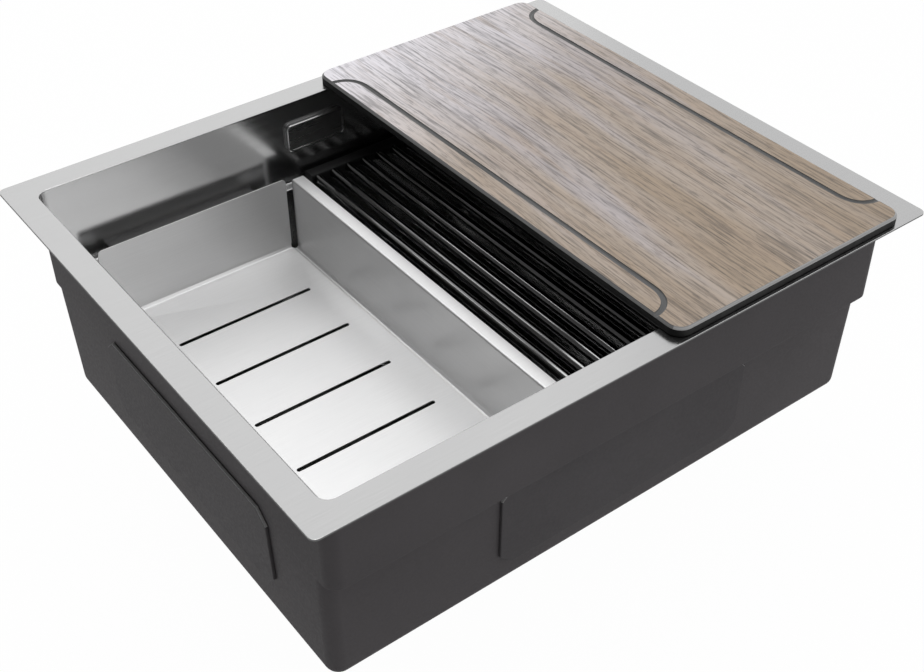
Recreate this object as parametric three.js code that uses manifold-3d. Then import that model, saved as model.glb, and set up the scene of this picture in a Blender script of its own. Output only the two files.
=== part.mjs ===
// Workstation kitchen sink for a 600 mm cabinet.
// A rectangular steel bowl hangs in the worktop by its flat rim. A step along both long walls
// carries a perforated pan and a rack of tubes, and a cutting board lies across the rim.
// Lengths are millimetres. X runs along the long side, Y from front to back and Z up.
// Heights are written from the top of the rim, and the whole sink is then raised by the rim's
// thickness, so that the origin lies at the centre of the rim's underside.

import * as THREE from 'three';
import { mergeVertices } from 'three/addons/utils/BufferGeometryUtils.js';
import Module from 'manifold-3d';

// ---- rim and bowl ----
const RIM_LENGTH = 600;
const RIM_WIDTH = 500;
const RIM_BAND = 24;
const RIM_THICKNESS = 1.5;
const RIM_CORNER_RADIUS = 6;
const RIM_EDGE_RADIUS = 1;
const SHEET = 1.2;
const WALL_CORNER_RADIUS = 10;
const WALL_DRAFT = 2;
const LEDGE_DEPTH = 86;
const LEDGE_WIDTH = 10;
const LEDGE_ROUND = 2;
const FLOOR_DEPTH = 197.7;
const FLOOR_EDGE_RADIUS = 8;
const FLOOR_FALL = 2.5;

// ---- coating and sound pads ----
const FIT_GAP = 0.3;
const COATING = 0.8;
const COATING_TOP = 4;
const COATING_DRAIN_MARGIN = 6;
const COATING_WINDOW_MARGIN = 3;
const PAD_THICKNESS = 2.5;
const PAD_EDGE = 0.5;
const PAD_CHAMFER = 12;
const END_PAD = { length: 256, height: 82, top: 79, centre: -16 };
const SIDE_PAD = { length: 258, height: 86, top: 90, centre: 6 };

// ---- drain in the floor ----
const DRAIN_X = 0;
const DRAIN_Y = 95;
const DRAIN_RECESS_RADIUS = 57.5;
const DRAIN_RECESS_DEPTH = 2.3;
const DRAIN_RECESS_SLOPE = 1.5;
const DRAIN_HOLE_RADIUS = 44.5;

// ---- overflow ----
const OVERFLOW_X = 0;
const OVERFLOW_DEPTH = 36.5;
const OVERFLOW_HOLE_LENGTH = 40;
const OVERFLOW_HOLE_HEIGHT = 13;
const COVER_LENGTH = 63;
const COVER_HEIGHT = 28.5;
const COVER_THICKNESS = 4;
const COVER_BORDER = 2;
const COVER_CORNER_RADIUS = 5;
const COVER_EDGE = 0.6;
const COVER_FIELD_DEPTH = 0.8;
const COVER_HOLLOW_DEPTH = 1.8;
const COVER_INLET_LENGTH = 47;
const COVER_INLET_DEPTH = 1.3;
const SEAL_THICKNESS = 2.2;
const HOUSING_LENGTH = 72;
const HOUSING_HEIGHT = 34;
const HOUSING_CORNER_RADIUS = 6;
const HOUSING_DEPTH = 18;
const HOUSING_WALL = 2;
const HOUSING_CAVITY_LENGTH = 42;
const HOUSING_CAVITY_HEIGHT = 26;
const HOUSING_CAVITY_RADIUS = 3;
const SPIGOT_RADIUS = 8;
const SPIGOT_BORE = 6.2;
const SPIGOT_LENGTH = 16;
const SPIGOT_ROOT = 6;
const SPIGOT_BACK_MARGIN = 0.6;
const SCREW_SPREAD = 25.5;
const SCREW_RADIUS = 1.5;
const SCREW_LENGTH = 13;
const SCREW_HEAD_RADIUS = 3.2;
const SCREW_HEAD_BASE = 2.2;
const SCREW_HEAD_HEIGHT = 1.4;
const SCREW_HEAD_BACK = 0.9;
const SCREW_CLEARANCE_RADIUS = 2.4;
const SCREW_BOSS_BORE = 1.9;
const HOSE_TURN = 34;
const HOSE_SIDES = 8;
const HOSE_STEPS = 12;

// ---- strainer waste under the drain ----
const WASHER = 1;
const WASHER_INNER_RADIUS = 44.9;
const UNDER_WASHER = 3;
const FLANGE_RADIUS = 54.5;
const CUP_RADIUS = 43.5;
const CUP_WALL = 1.2;
const CUP_DEPTH = 46;
const CUP_ROUND = 7;
const CUP_FLARE = 1;
const CUP_HOLES = 8;
const CUP_HOLE_RADIUS = 6;
const CUP_HOLE_CIRCLE = 24;
const CUP_BOLT_RADIUS = 4.4;
const BODY_RADIUS = 49;
const BODY_WALL = 2.6;
const BODY_ROUND = 9;
const BODY_UNDER_CUP = 10;
const BODY_FLANGE = 3;
const BODY_FLANGE_RADIUS = 56.5;
const OUTLET_RADIUS = 22;
const OUTLET_BORE = 18;
const OUTLET_LENGTH = 26;
const THREAD_TURNS = 2;
const THREAD_PITCH = 5;
const THREAD_HEIGHT = 1;
const BRANCH_DEPTH = 22;
const BRANCH_REACH = 74;
const BRANCH_ROOT = 4;
const SPIDER_WIDTH = 5;
const SPIDER_HEIGHT = 4;
const SPIDER_RISE = 3;
const HUB_RADIUS = 7;
const HUB_HEIGHT = 8;
const HUB_BORE = 2.8;
const CLAMP_RADIUS = 2.4;
const CLAMP_LENGTH = 12;
const CLAMP_HEAD_RADIUS = 7;
const CLAMP_HEAD_HEIGHT = 2.6;
const CLAMP_HEAD_CHAMFER = 1;
const CLAMP_SLOT_WIDTH = 1.4;
const NUT_RADIUS = 28;
const NUT_HEIGHT = 19;
const NUT_GRIP = 12;
const NUT_BASE = 4;
const NUT_EDGE = 1.5;
const NUT_THREAD_GAP = 1.4;
const NUT_PIPE_GAP = 0.4;
const NUT_RIBS = 8;
const NUT_RIB_WIDTH = 5;
const NUT_RIB_REACH = 1.5;
const TAIL_RADIUS = 20;
const TAIL_WALL = 2.4;
const TAIL_LENGTH = 30;
const TAIL_COLLAR_RADIUS = 22.8;
const TAIL_COLLAR = 1.6;

// ---- lift-out strainer basket ----
const BASKET_RADIUS = 37;
const BASKET_WALL = 1;
const BASKET_DEPTH = 30;
const BASKET_ROUND = 7;
const BASKET_FLARE = 2;
const BASKET_FLANGE_RADIUS = 43.2;
const BASKET_SEAT = 0.82;
const BASKET_HOLE_RADIUS = 2.4;
const BASKET_HOLE_RINGS = [{ circle: 13, count: 6 }, { circle: 23, count: 13 }];
const BASKET_SLOTS = 12;
const BASKET_SLOT_WIDTH = 2.4;
const BASKET_SLOT_HEIGHT = 11;
const BASKET_SLOT_DEPTH = 13;
const STEM_RADIUS = 3;
const STEM_TAIL = 1.4;
const STEM_HOLE_RADIUS = 3.3;
const KNOB_FOOT_RADIUS = 7;
const KNOB_FOOT_HEIGHT = 5;
const KNOB_NECK_RADIUS = 4;
const KNOB_RADIUS = 10.5;
const KNOB_ROUND = 3;
const KNOB_TOP_DEPTH = 1.2;
const STOPPER_RADIUS = 34;
const STOPPER_THICKNESS = 4.5;
const STOPPER_TAPER = 5;
const PLATE_RADIUS = 10;
const PLATE_THICKNESS = 1.6;
const PLATE_EDGE = 1;

// ---- perforated pan ----
const PAN_LEFT = -246;
const PAN_RIGHT = -42;
const PAN_HALF_WIDTH = 207;
const PAN_TOP = 65.5;
const PAN_FLOOR = 143;
const PAN_SHEET = 1;
const PAN_FLANGE = 11.5;
const PAN_BEND = 6;
const PAN_FLANGE_BEND = 1.5;
const PAN_CORNER_SLIT = 5.5;
const PAN_RELIEF_RADIUS = 6;
const PAN_RELIEF_INSET = 1.5;
const PAN_TOP_ROUND = 4;
const SLOT_COUNT = 5;
const SLOT_PITCH = 66.2;
const SLOT_LENGTH = 138;
const SLOT_WIDTH = 4.2;
const SLOT_CENTRE_Y = 4.5;
const SLOT_SHIFT_X = 5;
const HANGER_LENGTH = 150;
const HANGER_REACH = 15;
const HANGER_DROP = 14;
const HANGER_BEND = 1.5;
const GLIDE_WIDTH = 6;
const GLIDE_THICKNESS = 1.4;
const GLIDE_INSET = 3.4;

// ---- rack of tubes ----
const TUBE_COUNT = 16;
const TUBE_PITCH = 17.6;
const TUBE_FIRST_X = -9.5;
const TUBE_DIAMETER = 10;
const TUBE_WALL = 1.4;
const TUBE_TOP = 76;
const TUBE_HALF_LENGTH = 208.7;
const STRIP_WIDTH = 13;
const STRIP_HEIGHT = 10.2;
const STRIP_ROUND = 1.6;
const STRIP_OVERHANG = 7;
const PEG_LENGTH = 12;
const PEG_ROOT = 2;

// ---- cutting board ----
const BOARD_LENGTH = 492;
const BOARD_WIDTH = 253;
const BOARD_THICKNESS = 8.4;
const BOARD_LEFT = 19.1;
const BOARD_CENTRE_Y = -0.8;
const BOARD_CORNER_RADIUS = 12.5;
const BOARD_BEVEL = 2;
const GROOVE_WIDTH = 5;
const GROOVE_DEPTH = 1.6;
const GROOVE_INSET = 22.5;
const GROOVE_END = 25.5;

// ---- how finely the rounds are divided ----
const CORNER_STEPS = 5;
const EDGE_STEPS = 3;
const BEND_STEPS = 3;
const GROOVE_STEPS = 5;
const ROUND_STEPS = 24;
const SMALL_STEPS = 16;
const SCREW_STEPS = 10;
const TUBE_STEPS = 10;
const HOLE_STEPS = 6;
const PATH_STEPS = 3;
// Cutting forms reach this much past the face that they open.
const OVERCUT = 4;

const wasm = await Module();
wasm.setup();

// ================= shared builders =================

const QUARTER = Math.PI / 2;
const FULL_TURN = 2 * Math.PI;

const material = (name, colour, roughness, metalness) => new THREE.MeshStandardMaterial({
  name,
  color: colour,
  roughness,
  metalness,
});

const steel = (name) => material(name, 0xc9c9c7, 0.32, 1.0);
const coatingBlack = (name) => material(name, 0x3b3b3d, 0.75, 0.0);
const padBlack = (name) => material(name, 0x38383a, 0.8, 0.0);
const siliconeBlack = (name) => material(name, 0x18181a, 0.6, 0.0);
const plasticGrey = (name) => material(name, 0xd8d8d6, 0.45, 0.0);
const tubeDark = (name) => material(name, 0x1c1b1d, 0.35, 0.6);
const laminate = (name) => material(name, 0xb9a996, 0.6, 0.0);

function bareGeometry(geometry) {
  const plain = geometry.clone();
  plain.deleteAttribute('normal');
  plain.deleteAttribute('uv');
  return mergeVertices(plain, 1e-4);
}

function toSolid(geometry) {
  const merged = bareGeometry(geometry);
  const vertProperties = new Float32Array(merged.attributes.position.array);
  const triVerts = new Uint32Array(merged.index.array);
  return new wasm.Manifold(new wasm.Mesh({ numProp: 3, vertProperties, triVerts }));
}

function fromSolid(solid) {
  const mesh = solid.getMesh();
  const geometry = new THREE.BufferGeometry();
  geometry.setAttribute('position', new THREE.BufferAttribute(mesh.vertProperties, mesh.numProp));
  geometry.setIndex(new THREE.BufferAttribute(mesh.triVerts, 1));
  return geometry;
}

function cut(geometry, ...tools) {
  let solid = toSolid(geometry);
  for (const tool of tools) {
    solid = solid.subtract(toSolid(tool));
  }
  return fromSolid(solid);
}

function join(geometry, ...others) {
  let solid = toSolid(geometry);
  for (const other of others) {
    solid = solid.add(toSolid(other));
  }
  return fromSolid(solid);
}

function makeMesh(name, geometry, meshMaterial, x = 0, y = 0, z = 0) {
  const shaded = geometry.index ? geometry.toNonIndexed() : geometry;
  shaded.computeVertexNormals();
  const mesh = new THREE.Mesh(shaded, meshMaterial);
  mesh.name = name;
  mesh.position.set(x, y, z);
  return mesh;
}

// Turns the faces outwards where a form was drawn the other way round.
function outwardFacing(geometry) {
  const merged = bareGeometry(geometry);
  const position = merged.attributes.position;
  const index = merged.index.array;
  const [a, b, c] = [new THREE.Vector3(), new THREE.Vector3(), new THREE.Vector3()];
  let volume = 0;
  for (let i = 0; i < index.length; i += 3) {
    a.fromBufferAttribute(position, index[i]);
    b.fromBufferAttribute(position, index[i + 1]);
    c.fromBufferAttribute(position, index[i + 2]);
    volume += a.dot(b.cross(c));
  }
  if (volume < 0) {
    for (let i = 0; i < index.length; i += 3) {
      [index[i], index[i + 1]] = [index[i + 1], index[i]];
    }
  }
  return merged;
}

function roundedRectangle(length, height, radius) {
  const a = length / 2 - radius;
  const b = height / 2 - radius;
  const shape = new THREE.Shape();
  shape.moveTo(a, -b - radius);
  shape.absarc(a, -b, radius, -QUARTER, 0, false);
  shape.absarc(a, b, radius, 0, QUARTER, false);
  shape.absarc(-a, b, radius, QUARTER, 2 * QUARTER, false);
  shape.absarc(-a, -b, radius, 2 * QUARTER, 3 * QUARTER, false);
  return shape;
}

// A slot's outline: its ends are almost full half rounds.
function slotShape(length, height) {
  return roundedRectangle(length, height, height * 0.499);
}

function chamferedRectangle(length, height, chamfer) {
  const a = length / 2;
  const b = height / 2;
  return new THREE.Shape([
    new THREE.Vector2(a, -b + chamfer),
    new THREE.Vector2(a, b - chamfer),
    new THREE.Vector2(a - chamfer, b),
    new THREE.Vector2(-a + chamfer, b),
    new THREE.Vector2(-a, b - chamfer),
    new THREE.Vector2(-a, -b + chamfer),
    new THREE.Vector2(-a + chamfer, -b),
    new THREE.Vector2(a - chamfer, -b),
  ]);
}

function slab(shape, depth, curveSegments = PATH_STEPS) {
  return new THREE.ExtrudeGeometry(shape, { depth, bevelEnabled: false, curveSegments });
}

// A slab whose far face has a bevelled edge; the back face, at zero, is left square.
function bevelledSlab(shape, depth, bevel, curveSegments = PATH_STEPS) {
  const block = new THREE.ExtrudeGeometry(shape, {
    depth: depth - bevel,
    bevelEnabled: true,
    bevelThickness: bevel,
    bevelSize: bevel,
    bevelOffset: -bevel,
    bevelSegments: 1,
    curveSegments,
  });
  block.computeBoundingBox();
  const size = block.boundingBox.getSize(new THREE.Vector3());
  const knife = new THREE.BoxGeometry(size.x * 2, size.y * 2, size.z);
  knife.translate(0, 0, size.z / -2);
  return cut(block, knife);
}

// Turns a profile drawn in the XY plane so that it is swept along another axis.
const PROFILE_YZ = new THREE.Matrix4().makeBasis(
  new THREE.Vector3(0, 1, 0),
  new THREE.Vector3(0, 0, 1),
  new THREE.Vector3(1, 0, 0),
);
const PROFILE_XZ = new THREE.Matrix4().makeBasis(
  new THREE.Vector3(1, 0, 0),
  new THREE.Vector3(0, 0, 1),
  new THREE.Vector3(0, -1, 0),
);

function sweptCentred(shape, length, basis, curveSegments = PATH_STEPS) {
  const geometry = slab(shape, length, curveSegments);
  geometry.translate(0, 0, -length / 2);
  geometry.applyMatrix4(basis);
  return geometry;
}

function cylinderAlong(axis, radius, length, sides) {
  const geometry = new THREE.CylinderGeometry(radius, radius, length, sides);
  if (axis === 'x') geometry.rotateZ(QUARTER);
  if (axis === 'z') geometry.rotateX(QUARTER);
  return geometry;
}

// The same tool set at even steps round a circle.
function onCircle(count, makeTool, firstStep = 0) {
  return Array.from({ length: count }, (_, i) => {
    const tool = makeTool();
    tool.rotateZ((FULL_TURN * (i + firstStep)) / count);
    return tool;
  });
}

// A revolve about Z of a closed outline given as [radius, height] pairs.
function revolve(outline, steps = ROUND_STEPS) {
  const points = outline.map(([radius, height]) => new THREE.Vector2(radius, height));
  points.push(points[0].clone());
  const geometry = new THREE.LatheGeometry(points, steps);
  geometry.rotateX(QUARTER);
  return outwardFacing(geometry);
}

// Points on a round about [x, y], from one angle to another in quarter turns.
function arc(x, y, radius, from, to, steps = 2) {
  return Array.from({ length: steps + 1 }, (_, i) => {
    const angle = QUARTER * (from + ((to - from) * i) / steps);
    return [x + radius * Math.cos(angle), y + radius * Math.sin(angle)];
  });
}

// Half section of a pressed cup: a round at the bottom, a flare at the top and a flat flange,
// whose underside is at zero.
function cupOutline({ radius, depth, wall, round, flare, flange }) {
  const shift = wall * (Math.SQRT2 - 1);
  return [
    [0, -depth],
    ...arc(radius - round, round - depth, round, -1, 0),
    [radius, -flare],
    [radius + flare, 0],
    [flange, 0],
    [flange, wall],
    [radius + flare - shift, wall],
    [radius - wall, shift - flare],
    ...arc(radius - round, round - depth, round - wall, 0, -1),
    [0, wall - depth],
  ];
}

// A strip of even width drawn about a centre line.
function stripShape(centre, width) {
  const last = centre.length - 1;
  const side = (sign) => centre.map((point, i) => {
    const before = centre[Math.max(0, i - 1)];
    const after = centre[Math.min(last, i + 1)];
    const along = after.clone().sub(before).normalize();
    const normal = new THREE.Vector2(-along.y, along.x);
    return point.clone().addScaledVector(normal, (sign * width) / 2);
  });
  return new THREE.Shape([...side(1), ...side(-1).reverse()]);
}

// The profile of a bent sheet: its centre line has a round at each corner between the ends.
function bentSheet(corners, bends, thickness) {
  const centre = [new THREE.Vector2(...corners[0])];
  bends.forEach((bend, i) => {
    const here = new THREE.Vector2(...corners[i + 1]);
    const before = new THREE.Vector2(...corners[i]).sub(here).setLength(bend);
    const after = new THREE.Vector2(...corners[i + 2]).sub(here).setLength(bend);
    const middle = here.clone().add(before).add(after);
    for (let step = 0; step <= BEND_STEPS; step += 1) {
      const angle = (QUARTER * step) / BEND_STEPS;
      const point = middle.clone();
      point.addScaledVector(after, -Math.cos(angle));
      point.addScaledVector(before, -Math.sin(angle));
      centre.push(point);
    }
  });
  centre.push(new THREE.Vector2(...corners[corners.length - 1]));
  return stripShape(centre, thickness);
}

// ================= lofted bowl =================

const INNER_X = RIM_LENGTH / 2 - RIM_BAND;
const INNER_Y = RIM_WIDTH / 2 - RIM_BAND;
const LOWER_Y = INNER_Y - LEDGE_WIDTH;
const LOWER_TOP = LEDGE_DEPTH + LEDGE_ROUND;
const BEND_CENTRE = FLOOR_DEPTH - FLOOR_EDGE_RADIUS;
const FLOOR_AT_DRAIN = FLOOR_DEPTH + FLOOR_FALL;
const RECESS_FLOOR = FLOOR_AT_DRAIN + DRAIN_RECESS_DEPTH;

// One level of the bowl: a rounded rectangle with the same number of points at every level.
function rectangleRing(halfX, halfY, radius, depth) {
  const ring = [];
  const corners = [[1, 1], [-1, 1], [-1, -1], [1, -1]];
  corners.forEach(([sx, sy], corner) => {
    const centreX = sx * (halfX - radius);
    const centreY = sy * (halfY - radius);
    for (const [x, y] of arc(centreX, centreY, radius, corner, corner + 1, CORNER_STEPS)) {
      ring.push(new THREE.Vector3(x, y, -depth));
    }
  });
  return ring;
}

function circleRing(radius, depth) {
  const count = 4 * (CORNER_STEPS + 1);
  return Array.from({ length: count }, (_, i) => {
    const angle = (FULL_TURN * (i + 0.5)) / count;
    const x = DRAIN_X + radius * Math.cos(angle);
    const y = DRAIN_Y + radius * Math.sin(angle);
    return new THREE.Vector3(x, y, -depth);
  });
}

// Joins rings into one closed skin; the last ring runs back to the first.
function loftRings(rings) {
  const count = rings[0].length;
  const positions = rings.flat().flatMap((point) => point.toArray());
  const index = [];
  for (let level = 0; level < rings.length; level += 1) {
    const here = level * count;
    const there = ((level + 1) % rings.length) * count;
    for (let i = 0; i < count; i += 1) {
      const j = (i + 1) % count;
      index.push(here + i, here + j, there + j);
      index.push(here + i, there + j, there + i);
    }
  }
  const geometry = new THREE.BufferGeometry();
  geometry.setAttribute('position', new THREE.Float32BufferAttribute(positions, 3));
  geometry.setIndex(index);
  return outwardFacing(geometry);
}

// The step in the long walls, set outwards from the inner face by `offset`: a small round above
// it, the flat, and a small round below it.
function ledgeLevels(offset) {
  const radius = WALL_CORNER_RADIUS + offset;
  const x = INNER_X + offset;
  const outerY = INNER_Y + offset;
  const innerY = LOWER_Y + offset;
  const depth = LEDGE_DEPTH + offset;
  const upper = LEDGE_ROUND - offset / 2;
  const rounds = arc(outerY - upper, -depth + upper, upper, 0, -1);
  const levels = rounds.map(([y, height]) => rectangleRing(x, y, radius, -height));
  levels.push(rectangleRing(x, innerY + LEDGE_ROUND * 0.8, radius, depth));
  levels.push(rectangleRing(x, innerY + LEDGE_ROUND * 0.2, radius, depth + LEDGE_ROUND * 0.35));
  return levels;
}

// Wall levels from the step down to the floor, set outwards from the inner face by `offset`.
function lowerLevels(offset) {
  const radius = WALL_CORNER_RADIUS + offset;
  const levels = [rectangleRing(INNER_X + offset, LOWER_Y + offset, radius, LOWER_TOP + offset)];
  const halfX = INNER_X - WALL_DRAFT;
  const halfY = LOWER_Y - WALL_DRAFT;
  const bend = FLOOR_EDGE_RADIUS + offset;
  for (const [reach, rise] of arc(-FLOOR_EDGE_RADIUS, 0, bend, 0, 1, EDGE_STEPS)) {
    const corner = WALL_CORNER_RADIUS + reach;
    levels.push(rectangleRing(halfX + reach, halfY + reach, corner, BEND_CENTRE + rise));
  }
  return levels;
}

function makeBowl() {
  const rimX = RIM_LENGTH / 2;
  const rimY = RIM_WIDTH / 2;
  const rings = [
    rectangleRing(rimX, rimY, RIM_CORNER_RADIUS, RIM_THICKNESS),
    rectangleRing(rimX, rimY, RIM_CORNER_RADIUS, 0),
  ];
  for (const [reach, height] of arc(RIM_EDGE_RADIUS, -RIM_EDGE_RADIUS, RIM_EDGE_RADIUS, 1, 2)) {
    rings.push(rectangleRing(INNER_X + reach, INNER_Y + reach, WALL_CORNER_RADIUS + reach, -height));
  }
  rings.push(...ledgeLevels(0), ...lowerLevels(0));
  rings.push(
    circleRing(DRAIN_RECESS_RADIUS, FLOOR_AT_DRAIN),
    circleRing(DRAIN_RECESS_RADIUS - DRAIN_RECESS_SLOPE, RECESS_FLOOR),
    circleRing(DRAIN_HOLE_RADIUS, RECESS_FLOOR),
    circleRing(DRAIN_HOLE_RADIUS, RECESS_FLOOR + SHEET),
    circleRing(DRAIN_RECESS_RADIUS - DRAIN_RECESS_SLOPE + SHEET / 2, RECESS_FLOOR + SHEET),
    circleRing(DRAIN_RECESS_RADIUS + SHEET, FLOOR_AT_DRAIN + SHEET),
  );
  rings.push(...lowerLevels(SHEET).reverse(), ...ledgeLevels(SHEET).reverse());
  const corner = WALL_CORNER_RADIUS + SHEET;
  rings.push(rectangleRing(INNER_X + SHEET, INNER_Y + SHEET, corner, RIM_THICKNESS));
  return loftRings(rings);
}

function makeCoating() {
  const near = SHEET + FIT_GAP;
  const far = near + COATING;
  const top = (offset) => {
    const corner = WALL_CORNER_RADIUS + offset;
    return rectangleRing(INNER_X + offset, INNER_Y + offset, corner, COATING_TOP);
  };
  const hole = DRAIN_RECESS_RADIUS + COATING_DRAIN_MARGIN;
  const rings = [top(near), ...ledgeLevels(near), ...lowerLevels(near)];
  rings.push(circleRing(hole, FLOOR_AT_DRAIN + near), circleRing(hole, FLOOR_AT_DRAIN + far));
  rings.push(...lowerLevels(far).reverse(), ...ledgeLevels(far).reverse(), top(far));
  return loftRings(rings);
}

// ================= assembly groups =================

const sink = new THREE.Group();
sink.name = 'workstation_sink';
sink.position.z = RIM_THICKNESS;

const shell = new THREE.Group();
const waste = new THREE.Group();
const overflow = new THREE.Group();
const basket = new THREE.Group();
const pan = new THREE.Group();
const rack = new THREE.Group();
const board = new THREE.Group();
sink.add(shell, waste, overflow, basket, pan, rack, board);

const ENDS = [['left', -1], ['right', 1]];
const LONG_WALLS = [['back', 1], ['front', -1]];

// ================= bowl, coating and pads =================

const wallTool = (shape) => {
  const tool = sweptCentred(shape, SHEET * 2 + COATING * 2 + OVERCUT, PROFILE_XZ);
  tool.translate(OVERFLOW_X, INNER_Y, -OVERFLOW_DEPTH);
  return tool;
};
const screwHoles = ENDS.map(([, side]) => {
  const hole = cylinderAlong('y', SCREW_CLEARANCE_RADIUS, SHEET * 2 + OVERCUT, SCREW_STEPS);
  hole.translate(OVERFLOW_X + side * SCREW_SPREAD, INNER_Y, -OVERFLOW_DEPTH);
  return hole;
});
const overflowHole = wallTool(slotShape(OVERFLOW_HOLE_LENGTH, OVERFLOW_HOLE_HEIGHT));
shell.add(makeMesh('bowl', cut(makeBowl(), overflowHole, ...screwHoles), steel('bowl_steel')));

const coatingWindow = wallTool(roundedRectangle(
  HOUSING_LENGTH + 2 * COATING_WINDOW_MARGIN,
  HOUSING_HEIGHT + 2 * COATING_WINDOW_MARGIN,
  HOUSING_CORNER_RADIUS + COATING_WINDOW_MARGIN,
));
const coating = cut(makeCoating(), coatingWindow);
shell.add(makeMesh('outer_coating', coating, coatingBlack('coating_black')));

// A pad stands upright in its holder, follows the wall's draft and faces outwards.
const DRAFT_ANGLE = Math.atan2(WALL_DRAFT, BEND_CENTRE - LOWER_TOP);
const PAD_STAND = (SHEET + FIT_GAP + COATING + FIT_GAP) / Math.cos(DRAFT_ANGLE);

function wallPad(name, size) {
  const shape = chamferedRectangle(size.length, size.height, PAD_CHAMFER);
  const mesh = makeMesh(name, bevelledSlab(shape, PAD_THICKNESS, PAD_EDGE), padBlack('pad_bitumen'));
  mesh.rotation.x = QUARTER + DRAFT_ANGLE;
  const holder = new THREE.Group();
  holder.add(mesh);
  holder.position.z = -(size.top + size.height / 2);
  shell.add(holder);
  return holder;
}

// How far a drafted wall has come in at a pad's middle height.
const drawnIn = (size) => {
  const below = Math.max(0, size.top + size.height / 2 - LOWER_TOP);
  return below * Math.tan(DRAFT_ANGLE);
};
for (const [label, side] of ENDS) {
  const holder = wallPad(`sound_pad_${label}`, END_PAD);
  holder.rotation.z = side * QUARTER;
  holder.position.x = side * (INNER_X + PAD_STAND - drawnIn(END_PAD));
  holder.position.y = END_PAD.centre;
}
for (const [label, side] of LONG_WALLS) {
  const holder = wallPad(`sound_pad_${label}`, SIDE_PAD);
  holder.rotation.z = side > 0 ? 2 * QUARTER : 0;
  holder.position.x = SIDE_PAD.centre;
  holder.position.y = side * (LOWER_Y + PAD_STAND - drawnIn(SIDE_PAD));
}

// ================= overflow: cover inside, seal and housing outside, hose to the waste =========

function makeCover() {
  const base = roundedRectangle(COVER_LENGTH, COVER_HEIGHT, COVER_CORNER_RADIUS);
  const inside = roundedRectangle(
    COVER_LENGTH - 2 * COVER_BORDER,
    COVER_HEIGHT - 2 * COVER_BORDER,
    COVER_CORNER_RADIUS - COVER_BORDER,
  );
  const field = slab(inside, COVER_FIELD_DEPTH + OVERCUT);
  field.translate(0, 0, COVER_THICKNESS - COVER_FIELD_DEPTH);
  const hollow = slab(inside, COVER_HOLLOW_DEPTH + OVERCUT);
  hollow.translate(0, 0, -OVERCUT);
  const inlet = new THREE.BoxGeometry(COVER_INLET_LENGTH, 3 * COVER_BORDER, 2 * COVER_INLET_DEPTH);
  inlet.translate(0, COVER_HEIGHT / -2, 0);
  const plate = cut(bevelledSlab(base, COVER_THICKNESS, COVER_EDGE), field, hollow, inlet);
  plate.rotateX(QUARTER);
  return plate;
}
const cover = makeMesh('overflow_cover', makeCover(), steel('cover_steel'));
cover.position.set(OVERFLOW_X, INNER_Y - FIT_GAP, -OVERFLOW_DEPTH);
overflow.add(cover);

const housingOutline = roundedRectangle(HOUSING_LENGTH, HOUSING_HEIGHT, HOUSING_CORNER_RADIUS);
const sealBack = INNER_Y + SHEET + FIT_GAP + SEAL_THICKNESS;

function makeSeal() {
  const hole = slotShape(OVERFLOW_HOLE_LENGTH, OVERFLOW_HOLE_HEIGHT);
  const tools = [slab(hole, SEAL_THICKNESS + 2 * OVERCUT)];
  tools[0].translate(0, 0, -OVERCUT);
  for (const [, side] of ENDS) {
    const screwHole = cylinderAlong('z', SCREW_CLEARANCE_RADIUS, 2 * OVERCUT, SCREW_STEPS);
    screwHole.translate(side * SCREW_SPREAD, 0, 0);
    tools.push(screwHole);
  }
  const sheet = cut(slab(housingOutline, SEAL_THICKNESS), ...tools);
  sheet.rotateX(QUARTER);
  return sheet;
}
const seal = makeMesh('overflow_seal', makeSeal(), siliconeBlack('seal_rubber'));
seal.position.set(OVERFLOW_X, sealBack, -OVERFLOW_DEPTH);
overflow.add(seal);

// The housing is a shallow box, open towards the wall, with a round spigot below it.
const housingFront = sealBack + FIT_GAP;
const SPIGOT_Y = HOUSING_DEPTH - SPIGOT_RADIUS - SPIGOT_BACK_MARGIN;

function makeHousing() {
  const box = slab(housingOutline, HOUSING_DEPTH);
  box.rotateX(-QUARTER);
  const spigotTop = HOUSING_HEIGHT / -2 + SPIGOT_ROOT;
  const upright = (radius, length) => {
    const pipe = cylinderAlong('z', radius, length, SMALL_STEPS);
    pipe.translate(0, SPIGOT_Y, spigotTop - length / 2);
    return pipe;
  };
  const spigot = upright(SPIGOT_RADIUS, SPIGOT_LENGTH + SPIGOT_ROOT);
  const spigotBore = upright(SPIGOT_BORE, SPIGOT_LENGTH + SPIGOT_ROOT + OVERCUT);
  const cavityShape = roundedRectangle(
    HOUSING_CAVITY_LENGTH,
    HOUSING_CAVITY_HEIGHT,
    HOUSING_CAVITY_RADIUS,
  );
  const cavity = slab(cavityShape, HOUSING_DEPTH);
  cavity.rotateX(-QUARTER);
  cavity.translate(0, -HOUSING_WALL, 0);
  const screwBores = ENDS.map(([, side]) => {
    const bore = cylinderAlong('y', SCREW_BOSS_BORE, HOUSING_DEPTH, SCREW_STEPS);
    bore.translate(side * SCREW_SPREAD, 0, 0);
    return bore;
  });
  return cut(join(box, spigot), cavity, spigotBore, ...screwBores);
}
const housing = makeMesh('overflow_housing', makeHousing(), plasticGrey('housing_plastic'));
housing.position.set(OVERFLOW_X, housingFront, -OVERFLOW_DEPTH);
overflow.add(housing);

for (const [label, side] of ENDS) {
  const shank = cylinderAlong('y', SCREW_RADIUS, SCREW_LENGTH, SCREW_STEPS);
  const head = new THREE.CylinderGeometry(
    SCREW_HEAD_BASE,
    SCREW_HEAD_RADIUS,
    SCREW_HEAD_HEIGHT,
    SCREW_STEPS,
  );
  head.translate(0, SCREW_LENGTH / -2, 0);
  const name = `overflow_screw_${label}`;
  const screw = makeMesh(name, join(shank, head), steel('screw_steel'));
  const y = INNER_Y + SCREW_LENGTH / 2 - SCREW_HEAD_BACK;
  screw.position.set(OVERFLOW_X + side * SCREW_SPREAD, y, -OVERFLOW_DEPTH);
  overflow.add(screw);
}

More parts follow.
